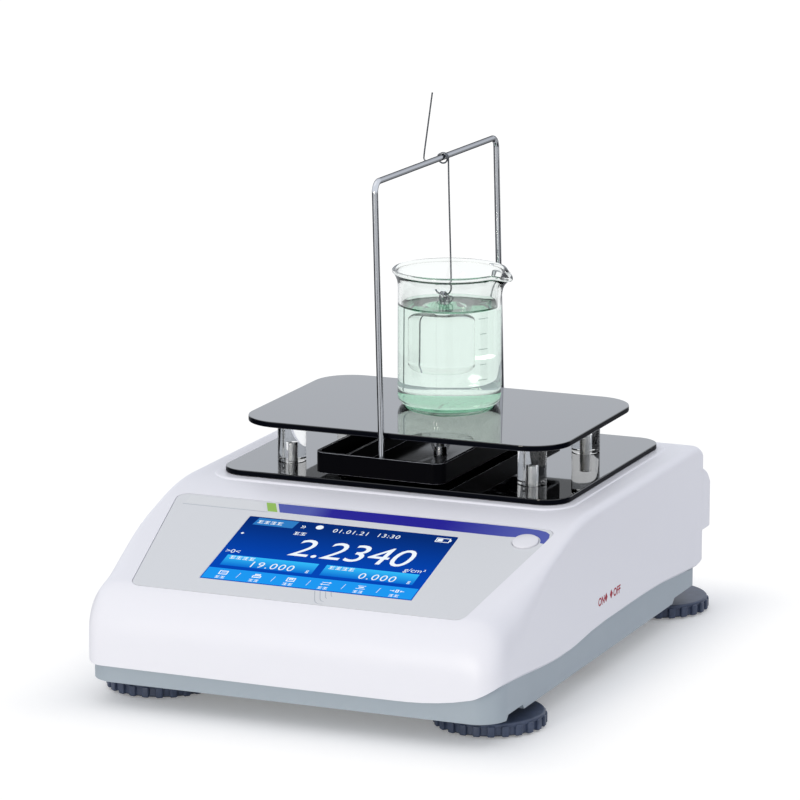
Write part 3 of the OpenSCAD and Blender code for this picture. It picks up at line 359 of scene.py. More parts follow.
def carve(solid, *shapes):
    """Cuts closed shapes in millimetres out of an object, and returns a new bmesh of the rest."""
    cutters = [solid_of(bm) for bm in shapes]
    for cutter in cutters:
        cut = solid.modifiers.new("Cut", "BOOLEAN")
        cut.operation = "DIFFERENCE"
        cut.object = cutter
        cut.solver = "EXACT"
    mesh = baked(solid)
    for cutter in cutters:
        bpy.data.objects.remove(cutter)
    bm = bmesh.new()
    bm.from_mesh(mesh)
    return bm


def slot_of(node):
    return next(p["material_slot"] for p in frame["record"]["subparts"] if p["node"] == node)


def refined(node, material, name, edge=0.2, sharp=35, steps=2, **finishes):
    """A merged copy of a CAD node's mesh with softened edges, which stands for the node."""
    source = frame["nodes"][node]
    bm = bmesh.new()
    bm.from_mesh(source.data)
    bmesh.ops.remove_doubles(bm, verts=bm.verts, dist=2e-6)
    bmesh.ops.dissolve_limit(bm, angle_limit=radians(0.5), verts=bm.verts, edges=bm.edges)
    looks = {"sharp": sharp, "edge": edge, "steps": steps, **finishes}
    return piece(name, bm, material, source["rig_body"], slot_of(node), node, unit=1, **looks)


# Sizes and colours


def length(name, description, default):
    return bpy.props.FloatProperty(
        name=name, description=description, default=default * MM, unit="LENGTH", subtype="DISTANCE"
    )


def number(name, description, default, unit="NONE"):
    return bpy.props.FloatProperty(name=name, description=description, default=default, min=0, unit=unit)


def colour(name, description, code):
    return bpy.props.FloatVectorProperty(
        name=name, description=description, default=srgb(code), size=4, subtype="COLOR", min=0, max=1
    )


class MeterHousing(bpy.types.PropertyGroup):
    width: length("Width", "Width of the moulded housing", 210)
    depth: length("Depth", "Depth of the housing without its hump", 283)
    wall: length("Wall", "Wall of the moulded shell", 2.8)
    brow_depth: length("Brow depth", "Depth of the rounded brow over the front face", 14.5)
    brow_drop: length("Brow drop", "Drop of the rounded brow", 21)
    white: colour("Housing", "White of the upper shell", "#F1F1F8")
    grey: colour("Base", "Grey of the lower shell", "#A8B3BC")


class MeterConsole(bpy.types.PropertyGroup):
    screen_width: length("Screen width", "Width of the lit screen", 106.5)
    screen_length: length("Screen length", "Length of the screen up the slope", 59.7)
    screen_low: length("Screen start", "Distance of the screen's lower edge up the slope", 23.7)
    sheet: colour("Sheet", "Pale printed sheet round the screen", "#DEE0E4")
    strip: colour("Strip", "Deep blue of the printed strip", "#180F9C")
    strip_end: colour("Strip ends", "Softer blue at the strip's ends", "#5560B4")
    chip: colour("Chip", "Green of the slanted chip", "#98C558")
    screen_dark: colour("Screen dark", "Blue of the screen's upper part", "#062C76")
    screen_light: colour("Screen light", "Blue of the screen's lower part", "#0446B6")
    field: colour("Fields", "Blue at the lower edge of the fields", "#076CD4")
    field_top: colour("Fields' top", "Lighter blue at the upper edge of the fields", "#34BEFC")
    bar: colour("Bar", "Blue of the bar at the screen's foot", "#1E98F2")


class MeterDeck(bpy.types.PropertyGroup):
    plate_edge: length("Plate edge", "Polished bevel along the plates' edges", 0.4)
    tray_edge: length("Tray edge", "Round edge of the tray", 0.45)
    black: colour("Plates", "Black of the acrylic plates", "#08080A")
    enamel: colour("Tray", "Black of the tray", "#060609")


class MeterSet(bpy.types.PropertyGroup):
    level: length("Level", "Height of the liquid over the platform", 49.3)
    rod: length("Rod", "Diameter of the frame's rod", 3)
    wire: length("Wire", "Diameter of the hanger wire", 0.8)
    glass: colour("Glass", "Tint of the laboratory glass", "#F8FBFA")
    liquid: colour("Liquid", "Tint of the liquid", "#F0FBF5")


class MeterFeet(bpy.types.PropertyGroup):
    edge: length("Edge", "Soft edge of the moulded ribs", 0.3)
    slate: colour("Feet", "Slate blue of the levelling feet", "#3C4860")


class MeterStudio(bpy.types.PropertyGroup):
    lens: number("Lens", "Focal length of the camera", 217.73, "CAMERA")
    lamp: number("Lamp", "Power of the overhead lamp", 1.4, "POWER")
    fill: number("Fill", "Power of the front lamp", 10.0, "POWER")
    ambient: number("Ambient", "Strength of the light from all round", 0.8)
    card_width: length("Black card", "Width of the black cards that the metal reflects", 420)
    strip_width: length("Black strip", "Width of the low black strips that are seen through the glass", 200)
    floor: colour("Floor", "Pale floor", "#F4F4F4")
    warm: colour("Lamps", "Colour of the lamps", "#FFF9EA")
    cool: colour("Ambient colour", "Colour of the light from all round", "#F8FAFF")
    gloss: colour("Gloss", "Colour of the room that smooth surfaces mirror", "#F2F7FF")
    floor_gloss: colour("Floor gloss", "Colour of the floor that smooth surfaces mirror", "#BCBFC3")


GROUPS = {
    "meter_housing": MeterHousing,
    "meter_console": MeterConsole,
    "meter_deck": MeterDeck,
    "meter_set": MeterSet,
    "meter_feet": MeterFeet,
    "meter_studio": MeterStudio,
}


def sizes(group):
    return getattr(bpy.context.scene, group)


# Finishes


def moulded_plastic(name, tone, roughness, size, depth):
    """Injection-moulded plastic: an even colour under a fine spark-eroded grain that softens highlights."""
    look = finish(name, tone, roughness, IOR=1.46)
    grain(look, size, depth)
    vary(look, "Roughness", roughness - 0.04, roughness + 0.05, 30)
    return look.made


def white_housing_abs():
    """Moulded ABS in cool white; the grain is drawn at 0.5 mm, where the real 0.1 would not show."""
    return moulded_plastic("moulded_white_abs", tuple(sizes("meter_housing").white), 0.36, 0.5, 0.004)


def grey_base_abs():
    """The lower shell's grey ABS, a little duller than the white."""
    return moulded_plastic("moulded_grey_abs", tuple(sizes("meter_housing").grey), 0.42, 0.5, 0.006)


def polished_button_plastic():
    """Polished button cap, which shows a sharper highlight than the housing."""
    return moulded_plastic("polished_white_plastic", srgb("#ECECF2"), 0.22, 1.2, 0.002)


def moulded_knob_plastic():
    """Glass-filled nylon of the feet: slate blue with a faint flow pattern."""
    look = finish("moulded_slate_nylon", tuple(sizes("meter_feet").slate), 0.42)
    grain(look, 0.6, 0.012)
    vary(look, "Base Color", srgb("#364158"), srgb("#444F68"), 6)
    return look.made


def printed_film():
    """Satin polyester sheet printed on its back, with a fine matt texture."""
    look = finish("satin_polyester_film", tuple(sizes("meter_console").sheet), 0.4)
    grain(look, 0.4, 0.002)
    return look.made


def print_ink(name, tone, roughness=0.45):
    """Screen-printed ink: an even film with a slightly uneven gloss."""
    look = finish(name, tone, roughness, Specular_IOR_Level=0.25)
    vary(look, "Roughness", roughness - 0.05, roughness + 0.05, 4)
    return look.made


def strip_ink():
    """The strip's ink: deep blue in the middle and softer towards both ends."""
    console = sizes("meter_console")
    look = finish("printed_blue_strip", tuple(console.strip), 0.4, Specular_IOR_Level=0.1)
    across = add(look.tree, "SeparateXYZ", {"Vector": look.place}).outputs["X"]
    half = 0.19 / 2
    share = add(look.tree, "MapRange", {"Value": across, "From Min": -half, "From Max": half}).outputs[0]
    ramp = add(look.tree, "ValToRGB", {"Fac": share})
    deep, soft = console.strip, console.strip_end
    stops = [(0.30, soft), (0.36, soft), (0.42, deep), (0.72, deep), (0.95, soft)]
    while len(ramp.color_ramp.elements) < len(stops):
        ramp.color_ramp.elements.new(0.5)
    for element, (where, tone) in zip(ramp.color_ramp.elements, stops):
        element.position = where
        element.color = tuple(tone)
    look.tree.links.new(ramp.outputs[0], look.shader.inputs["Base Color"])
    return look.made


def screen_glass():
    """Lit liquid-crystal screen under glass: deep blue that grows lighter towards its foot."""
    console = sizes("meter_console")
    look = finish("lit_screen_glass", srgb("#02060F"), 0.12, Specular_IOR_Level=0.0)
    glow(look, (-0.108, -0.074), console.screen_light, console.screen_dark)
    grain(look, 6.0, 0.002)
    return look.made


def glow(look, span, low, high):
    """Lights a surface, from one colour at the near end of a span in metres to another at its far end."""
    ahead = add(look.tree, "SeparateXYZ", {"Vector": look.place}).outputs["Y"]
    share = add(look.tree, "MapRange", {"Value": ahead, "From Min": span[0], "From Max": span[1]}).outputs[0]
    run = add(look.tree, "Mix", {"Factor": share, "A": tuple(low), "B": tuple(high)}, data_type="RGBA")
    look.tree.links.new(run.outputs["Result"], look.shader.inputs["Emission Color"])
    look.shader.inputs["Emission Strength"].default_value = 1.0


def lit_pixels(name, low, high=None, span=(-0.1145, -0.105)):
    """Pixels of the lit screen: dark when off, and even in their light."""
    look = finish(name, srgb("#020305"), 0.3, Specular_IOR_Level=0.0)
    glow(look, span, low, high or low)
    grain(look, 0.3, 0.001)
    return look.made


def black_acrylic():
    """Cast acrylic, flame polished: a deep black mirror at low angles, with faint wipe marks."""
    coat = {"Coat_Weight": 0.66, "Coat_Roughness": 0.02}
    look = finish("polished_black_acrylic", tuple(sizes("meter_deck").black), 0.03, IOR=1.49, **coat)
    vary(look, "Roughness", 0.015, 0.05, 25, (1, 0.3, 1))
    return look.made


def cut_acrylic():
    """The plates' sawn and scraped edges: black, with a satin sheen along fine saw lines."""
    look = finish("scraped_black_acrylic", srgb("#04060E"), 0.35, Specular_IOR_Level=0.03)
    grain(look, 0.5, 0.01, (1, 1, 0.2))
    return look.made


def tray_enamel(name, roughness, gloss):
    """Baked black enamel on pressed steel, with a slight orange peel."""
    look = finish(name, tuple(sizes("meter_deck").enamel), roughness, Specular_IOR_Level=gloss)
    grain(look, 3.0, 0.004)
    return look.made


def clear_acrylic():
    """Clear cast acrylic rod with faint turning marks round it."""
    look = finish("clear_cast_acrylic", srgb("#F4F6F8"), 0.02, IOR=1.49, Transmission_Weight=1.0)
    grain(look, 0.8, 0.002, (1, 1, 4))
    return look.made


def drawn_chrome(name, roughness, size, tone="#DCDDE0"):
    """Chromed steel: a mirror broken up by the drawn wire's fine lengthwise lines. Its dark rims are painted
    shade: a black edge tint that stands in for dark surroundings mirrored at grazing angles.
    """
    # The near-black specular tint paints the dark rims.
    look = finish(name, srgb(tone), roughness, Metallic=1.0, Specular_Tint=srgb("#060607"))
    grain(look, size, 0.003, (1, 1, 0.1))
    vary(look, "Roughness", roughness - 0.03, roughness + 0.05, 2)
    return look.made


def machined_metal(name, tone, roughness, size, depth, metallic=1.0):
    """Machined or plated metal with the fine lines that its tool left."""
    look = finish(name, tone, roughness, Metallic=metallic)
    grain(look, size, depth, (1, 1, 0.2))
    vary(look, "Roughness", roughness - 0.05, roughness + 0.08, 6)
    return look.made


def laboratory_glass(name, ior, tint):
    """Borosilicate glass, blown: clear with the slightest green and shallow waves from the mould."""
    look = finish(name, tint, 0.0, IOR=ior, Transmission_Weight=1.0)
    grain(look, 14.0, 0.02, detail=0.0)
    return look.made


def ground_glass_with_painted_glow():
    """Ground underside of the beaker. Its glow is painted light: an emission that stands in for the light
    that the wall and the liquid carry down.
    """
    # Painted glow: the emission stands in for light carried down through the glass and the liquid.
    painted_glow = {"Emission_Color": srgb("#A6EAC9"), "Emission_Strength": 0.85}
    look = finish("ground_borosilicate_painted_glow", srgb("#CDEFDD"), 0.5, IOR=1.47, Transmission_Weight=0.2, **painted_glow)
    grain(look, 0.4, 0.004)
    return look.made


def measured_liquid():
    """Clear liquid with a pale green tint."""
    tint = tuple(sizes("meter_set").liquid)
    look = finish("pale_green_liquid", tint, 0.0, IOR=1.333, Transmission_Weight=1.0)
    grain(look, 8.0, 0.01, detail=0.0)
    return look.made


def circuit_board():
    """Glass-epoxy board under green solder mask, its copper tracks showing as faint lines."""
    look = finish("green_solder_mask", srgb("#1F6B45"), 0.3)
    tones = {"Color1": srgb("#1F6B45"), "Color2": srgb("#1B6340"), "Mortar": srgb("#3C8A5E")}
    tracks = add(look.tree, "TexBrick", {"Vector": look.place, "Scale": 260.0, "Mortar Size": 0.03, **tones})
    look.tree.links.new(tracks.outputs["Color"], look.shader.inputs["Base Color"])
    return look.made


def battery_film():
    """Heat-shrunk PVC film, glossy and a little wrinkled."""
    look = finish("shrunk_blue_pvc", srgb("#3F6FA8"), 0.25)
    grain(look, 5.0, 0.08, (1, 0.4, 1))
    return look.made


def sole_rubber():
    """Moulded rubber: matt black with a soft bloom."""
    look = finish("moulded_black_rubber", srgb("#26282B"), 0.8)
    grain(look, 0.5, 0.02)
    vary(look, "Base Color", srgb("#232528"), srgb("#303338"), 8)
    return look.made


# The moulded shell

# Front corners in plan as width, depth and power; shoulders as width and drop, at the nose and the deck
CORNER = (14.0, 20.0, 2.6)
SHOULDER_NOSE = (19.6, 37.0)
SHOULDER_DECK = (5.0, 4.2)
SHOULDER_POWER = 2.7
SHOULDER_RUN = 75.0
BROW_POWER = 2.1
# The rear edge's depth and drop, and its corners in plan
REAR_ROUND = (15.0, 11.4)
REAR_CORNER = 5.0
# How far the base stands back from the shell
BASE_SIDE_INSET = 1.5
BASE_FRONT_INSET = 3.0
BASE_REAR_INSET = 10.0
# Heights of the parting line: middle of the front, left side, right front corner
LIP_FRONT, LIP_LEFT, LIP_CORNER = 19.5, 19.9, 23.4
# The sheet's start and length up the slope, and its widths at the lower and upper edge
PANEL_LOW = 11.4
PANEL_LENGTH = 86.9
PANEL_LOW_WIDTH = 168.0
PANEL_TOP_WIDTH = 193.0


def smooth(t):
    t = min(max(t, 0.0), 1.0)
    return t * t * (3 - 2 * t)


def fall(u, power):
    """Fall from a superellipse's top at the share u of its run."""
    return 1 - (1 - min(max(u, 0.0), 1.0) ** power) ** (1 / power)


class Shell:
    """The housing's outline at a distance d from its front face."""

    def __init__(self, housing):
        self.width = housing.width / MM
        self.depth = housing.depth / MM
        self.brow = (housing.brow_depth / MM, housing.brow_drop / MM)
        self.slope = tan(radians(CONSOLE_ANGLE))
        self.bend = (PANEL_LOW + PANEL_LENGTH) * cos(radians(CONSOLE_ANGLE)) - 4
        self.bend_h = CONSOLE_H + self.slope * self.bend
        self.run = 2 * (CROWN_H - self.bend_h) / self.slope

    def plane(self, d):
        if d < self.bend:
            return CONSOLE_H + self.slope * d
        if d > self.bend + self.run:
            return CROWN_H
        past = d - self.bend
        return self.bend_h + self.slope * past * (1 - past / (2 * self.run))

    def top(self, d):
        rear = (d - self.depth + REAR_ROUND[0]) / REAR_ROUND[0]
        return (
            self.plane(d)
            - self.brow[1] * fall(1 - d / self.brow[0], BROW_POWER)
            - REAR_ROUND[1] * fall(rear, 2)
        )

    def half(self, d):
        rear = (d - self.depth + REAR_CORNER) / REAR_CORNER
        front = CORNER[0] * fall(1 - d / CORNER[1], CORNER[2])
        return self.width / 2 - front - REAR_CORNER * fall(rear, 2)

    def shoulder(self, d):
        share = smooth(1 - d / SHOULDER_RUN)
        return [low + (high - low) * share for low, high in zip(SHOULDER_DECK, SHOULDER_NOSE)]

    def lip(self, d, side=1):
        """Height of the parting line: at the right it climbs round the corner, then falls and rises."""
        wave = (
            LIP_CORNER
            + 5.7 * sqrt(1 - (1 - min(d / 10, 1.0)) ** 2)
            - 4.8 * smooth((d - 5) / 80)
            + 2.6 * smooth((d - 92) / 46)
            - 4.4 * smooth((d - 200) / 85)
            + 1.8 * smooth((d - self.depth + BASE_REAR_INSET) / BASE_REAR_INSET)
        )
        return wave if side > 0 else LIP_LEFT + (wave - LIP_LEFT) * smooth(d / 35)

    def front_lip(self, x):
        """Height of the parting line across the front face."""
        reach = self.half(0)
        rise = max(0.0, (x - 55) / (reach - 55)) ** 2.2
        return LIP_FRONT + (LIP_CORNER - LIP_FRONT) * rise + (LIP_LEFT - LIP_FRONT) * max(0.0, -x / reach)

    def section(self, d):
        """Points from the left lip over the top to the right lip."""
        wide, drop = self.shoulder(d)
        x, z = self.half(d), self.top(d)
        drop = min(drop, z - self.lip(d) - 4)
        steps = 18
        y = FRONT + d
        points = []
        for side in (-1, 1):
            lip = self.lip(d, side)
            turned = 0.05 + 1.45 * smooth(d / 15)
            run = [(side * (x - turned), y, lip), (side * x, y, lip + turned)]
            for i in range(steps + 1):
                t = radians(90 * i / steps)
                across = x - wide * (1 - cos(t) ** (2 / SHOULDER_POWER))
                up = z - drop * (1 - sin(t) ** (2 / SHOULDER_POWER))
                run.append((side * across, y, up))
            points += run if side < 0 else reversed(run)
        return points

    def stations(self):
        nose = [self.brow[0] * (1 - cos(radians(90 * i / 20))) for i in range(20)]
        steps = (0, 1.7, 3.5, 5.5, 8, 11.5, 15.5, 20, 26, 32, 38, 45, 52, 60, 68)
        middle = [self.brow[0] + step for step in steps]
        bend = [self.bend + self.run * i / 12 for i in range(13)]
        back = [self.bend + self.run + step for step in (20, 45, 70, 95, 110, 120)]
        rear = [self.depth - REAR_ROUND[0] * cos(radians(90 * i / 12)) for i in range(13)]
        return nose + middle + bend + [d for d in back if d < rear[0] - 3] + rear


def console_outline(grow):
    """The sheet's outline: narrower at its lower edge, with round corners."""
    radius = 5.0
    low, high = PANEL_LOW_WIDTH / 2 - radius, PANEL_TOP_WIDTH / 2 - radius
    bottom, top = PANEL_LOW + radius, PANEL_LOW + PANEL_LENGTH - radius
    grown = radius + grow
    points = corner(high, top, grown, 0) + corner(-high, top, grown, 90)
    return points + corner(-low, bottom, grown, 180) + corner(low, bottom, grown, 270)


def closed_slab(outline, low, high, matrix=None):
    bm = bmesh.new()
    slab(bm, outline, low, high)
    closed(bm)
    if matrix:
        carry(bm, matrix)
    return bm


def disc(radius, middle=(0, 0), steps=64):
    angles = [tau * i / steps for i in range(steps)]
    return [(middle[0] + radius * cos(a), middle[1] + radius * sin(a)) for a in angles]


def serial_outline(grow):
    """The serial port's outline, wider at its top."""
    wide, narrow, high = 8.6 + grow, 7.4 + grow, 4 + grow
    return [(wide, high), (-wide, high), (-narrow, -high), (narrow, -high)]


class METER_OT_housing(bpy.types.Operator):
    """Moulds the upper shell with its console recess, the deck's seat and the hump at the back"""

    bl_idname = "meter.housing"
    bl_label = "Housing"

    def execute(self, context):
        housing = sizes("meter_housing")
        console = sizes("meter_console")
        shell = Shell(housing)
        white = white_housing_abs()
        bm = bmesh.new()
        stations = shell.stations()
        cloth_of_rings(bm, [shell.section(d) for d in stations])
        ends = [e for e in bm.edges if e.is_boundary]
        for y in (FRONT, FRONT + shell.depth):
            loop = [e for e in ends if all(abs(v.co.y - y) < 1e-4 for v in e.verts)]
            feet = sorted((v for e in loop for v in e.verts), key=lambda v: v.co.x)
            line = [feet[0], feet[-1]]
            if y == FRONT:
                reach = feet[-1].co.x
                steps = [reach * i / 12 for i in range(-11, 12)]
                line[1:1] = [bm.verts.new((x, y, shell.front_lip(x))) for x in steps]
            loop += [bm.edges.new(pair) for pair in zip(line, line[1:])]
            bmesh.ops.contextual_create(bm, geom=loop)
        bmesh.ops.recalc_face_normals(bm, faces=bm.faces)
        if sum(f.normal.z * f.calc_area() for f in bm.faces) < 0:
            bmesh.ops.reverse_faces(bm, faces=bm.faces)
        solid = solid_of(bm)
        wall = solid.modifiers.new("Wall", "SOLIDIFY")
        wall.thickness = housing.wall / MM
        wall.offset = -1
        wall.use_even_offset = True
        flat = console_matrix()
        low = console.screen_low / MM
        wide, long = console.screen_width / MM, console.screen_length / MM
        window = [(x, low + long / 2 + y) for x, y in rounded(wide + 0.3, long + 0.3, 1.0, 3)]
        bm = carve(
            solid,
            closed_slab(console_outline(0.2), -0.6 - GLASS_SINK, 6, flat),
            closed_slab(window, -12, 8, flat),
            closed_slab(disc(6.45, BUTTON), -18, 8, flat),
            closed_slab(disc(10, SPINDLE), CROWN_H - 12, CROWN_H + 12),
        )
        piece("housing_shell", bm, white, "housing", "white_abs", "upper_housing", sharp=28)

        seat = closed_slab(rounded(187.6, 153.5, 15.5, 14, (0, FRONT + 191.45)), CROWN_H - 2.6, DECK_H)
        top = [e for e in seat.edges if all(v.co.z > DECK_H - 0.1 for v in e.verts)]
        bevelled(seat, top, 1.6, 5)
        hole = closed_slab(disc(10, SPINDLE), CROWN_H - 12, CROWN_H + 12)
        piece("deck_seat", carve(solid_of(seat), hole), white, "housing", "white_abs", sharp=30)

        self.hump(shell, white)
        self.flange(shell, white)
        return {"FINISHED"}

    def flange(self, shell, white):
        """The shell's turned-in lower edge behind the base."""
        start, end = shell.depth - BASE_REAR_INSET - 1.4, shell.depth - 0.6
        low = shell.lip(shell.depth - BASE_REAR_INSET)
        half = shell.width / 2 - 3.4
        bm = bmesh.new()
        rings = []
        for x in (-half, -half + 1.5, half - 1.5, half):
            inset = 1.5 if abs(x) == half else 0.0
            edge = end - inset
            side = [(start, low), (edge, shell.lip(shell.depth)), (edge, low + 4.2)]
            side += [(start, low + 2.4), (start, low)]
            rings.append([(x, FRONT + d, z) for d, z in side])
        cloth_of_rings(bm, rings)
        capped(bm)
        rear = FRONT + FOOT_REAR
        notches = [closed_slab(disc(8.3, (x, rear)), low - 10, low + 20) for x in (-FOOT_X, FOOT_X)]
        piece("rear_flange", carve(solid_of(bm), *notches), white, "housing", "white_abs", sharp=30)

    def hump(self, shell, white):
        """The hump on the rear face, with its sloped top and the holes for two connectors."""
        start, back = shell.depth - 2, shell.depth + 17
        low, high = 38.6, 71.8
        profile = [(start, low), (back, low), (back, high - 9.3), (back - 1.2, high - 7.8)]
        profile += [(shell.depth, high), (start, high)]
        width = shell.width - 4
        # The profile's depth and height, drawn up along the width
        across = Matrix(((0, 0, 1, 0), (1, 0, 0, 0), (0, 1, 0, 0), (0, 0, 0, 1)))
        bm = closed_slab([(FRONT + d, z) for d, z in profile], -width / 2, width / 2, across)
        upright = []
        for e in bm.edges:
            a, b = (v.co for v in e.verts)
            if min(a.y, b.y) > FRONT + shell.depth + 12 and abs(a.x - b.x) < 0.1:
                upright.append(e)
        bevelled(bm, upright, 5, 6)
        turn = Matrix.Translation((0, FRONT + back, 52.6)) @ Matrix.Rotation(radians(90), 4, "X")
        socket = closed_slab(disc(5.7, (52, 0)), -2, 14.5, turn)
        port = closed_slab([(x + 8, y) for x, y in serial_outline(0.3)], -2, 12.5, turn)
        bm = carve(solid_of(bm), socket, port)
        piece("rear_hump", bm, white, "housing", "white_abs", sharp=30, edge=0.8, steps=3)


class METER_OT_base(bpy.types.Operator):
    """Softens the grey lower shell, and raises its wall to the curved parting line"""

    bl_idname = "meter.base"
    bl_label = "Base"

    def execute(self, context):
        grey = grey_base_abs()
        refined("base_pan", grey, "base_shell", edge=0.0, sharp=25)
        shell = Shell(sizes("meter_housing"))
        low, wall, proud = 14.4, 1.6, 0.03
        rings = []
        for x, d, nx, ny, high in self.outline(shell):
            outer = (x + nx * proud, FRONT + d + ny * proud)
            inner = (x - nx * wall, FRONT + d - ny * wall)
            top = high + 1
            rings.append([(*outer, low), (*outer, top), (*inner, top), (*inner, low), (*outer, low)])
        bm = bmesh.new()
        cloth_of_rings(bm, rings)
        capped(bm)
        piece("base_wall", bm, grey, "housing", "grey_abs", sharp=30)
        return {"FINISHED"}

    def outline(self, shell):
        """Points from the left side round the front to the right side, each with its outward direction
        and the height of the parting line."""
        half, front, radius = shell.width / 2 - BASE_SIDE_INSET, BASE_FRONT_INSET, 14.0
        ways = []
        for side in (-1, 1):
            way = [(x, front, 0.0, -1.0, shell.front_lip(side * x)) for x in [8.0 * i for i in range(12)]]
            for i in range(1, 13):
                a = radians(90 * i / 12)
                out = (sin(a), -cos(a))
                d = front + radius + radius * out[1]
                way.append((half - radius + radius * out[0], d, *out, shell.lip(d - front, side)))
            way += [(half, d, 1.0, 0.0, shell.lip(d, side)) for d in [21 + 8 * i for i in range(31)]]
            ways.append(way)
        left = [(-x, d, -nx, ny, high) for x, d, nx, ny, high in reversed(ways[0][1:])]
        return left + ways[1]


def print_on_console(name, bm, ink, slot="panel_film"):
    """Sets a flat print in millimetres on the console's sheet or glass."""
    carry(bm, console_matrix() @ Matrix.Translation((0, 0, -GLASS_SINK)))
    return piece(name, bm, ink, "housing", slot)


class METER_OT_console(bpy.types.Operator):
    """Lays the printed sheet with its blue strip, green chip and touch marks round the screen"""

    bl_idname = "meter.console"
    bl_label = "Console sheet"

    def execute(self, context):
        console = sizes("meter_console")
        refined("panel_overlay", printed_film(), "console_sheet", edge=0.12, sharp=40)
        # The strip narrows to the right and ends in a hook that goes round the button
        upper = [(-44.6, 97.3), (-20, 97.5), (61.6, 97.9), (80, 97.8), (88, 97.3), (92.4, 96.2)]
        upper += [(94.9, 94.2), (95.7, 91), (95.3, 85.2)]
        hug = [radians(3 + 147 * i / 14) for i in range(15)]
        round_button = [(BUTTON[0] + 7.0 * cos(a), BUTTON[1] + 7.0 * sin(a)) for a in hug]
        lower = [(75.5, 88.3), (65.7, 88.3), (14.9, 88.8), (-40.6, 89.4)]
        chip = [(-50.8, 97.2), (-46.0, 97.2), (-41.8, 89.4), (-46.8, 89.4)]
        field = [(-52.6, 96.6), (-90.2, 96.6), (-90.4, 89.9), (-48.8, 89.4)]
        for name, outline, ink in (
            ("blue_strip", upper + round_button + lower, strip_ink()),
            ("green_chip", chip, print_ink("printed_green_chip", tuple(console.chip))),
            ("name_field", field, print_ink("printed_bare_field", srgb("#E2E4E7"))),
        ):
            print_on_console(name, closed_slab(outline, 0, PRINT_T), ink)
        bm = bmesh.new()
        slab(bm, [(-91.0, 88.4), (-46.5, 88.4), (-46.5, 88.8), (-91.0, 88.8)], 0, PRINT_T)
        closed(bm)
        self.touch_marks(bm)
        print_on_console("fine_lines", bm, print_ink("printed_silver_line", srgb("#B4B9C2")))
        return {"FINISHED"}

    def touch_marks(self, bm):
        """Nested open curves below the screen."""
        paths = (
            [(5.4, 22.8), (8.4, 15.4), (9.6, 13.2), (11.2, 12.2), (13.6, 12.1)],
            [(8.0, 23.0), (10.6, 16.6), (11.8, 14.9), (13.4, 14.2)],
            [(10.7, 23.1), (12.6, 18.4), (13.6, 17.2)],
            [(13.4, 23.2), (14.7, 20.2), (15.4, 19.4)],
        )
        thick = 0.3
        for path in paths:
            back = [(x + thick, y + thick / 2) for x, y in reversed(path)]
            slab(bm, path + back, 0, PRINT_T)


def bar_shape(bm, x, y, width, height, slant=0.0, high=PRINT_T):
    """A small rectangle, leaning to the right by slant."""
    slab(bm, [(x, y), (x + width, y), (x + width + slant, y + height), (x + slant, y + height)], 0, high)


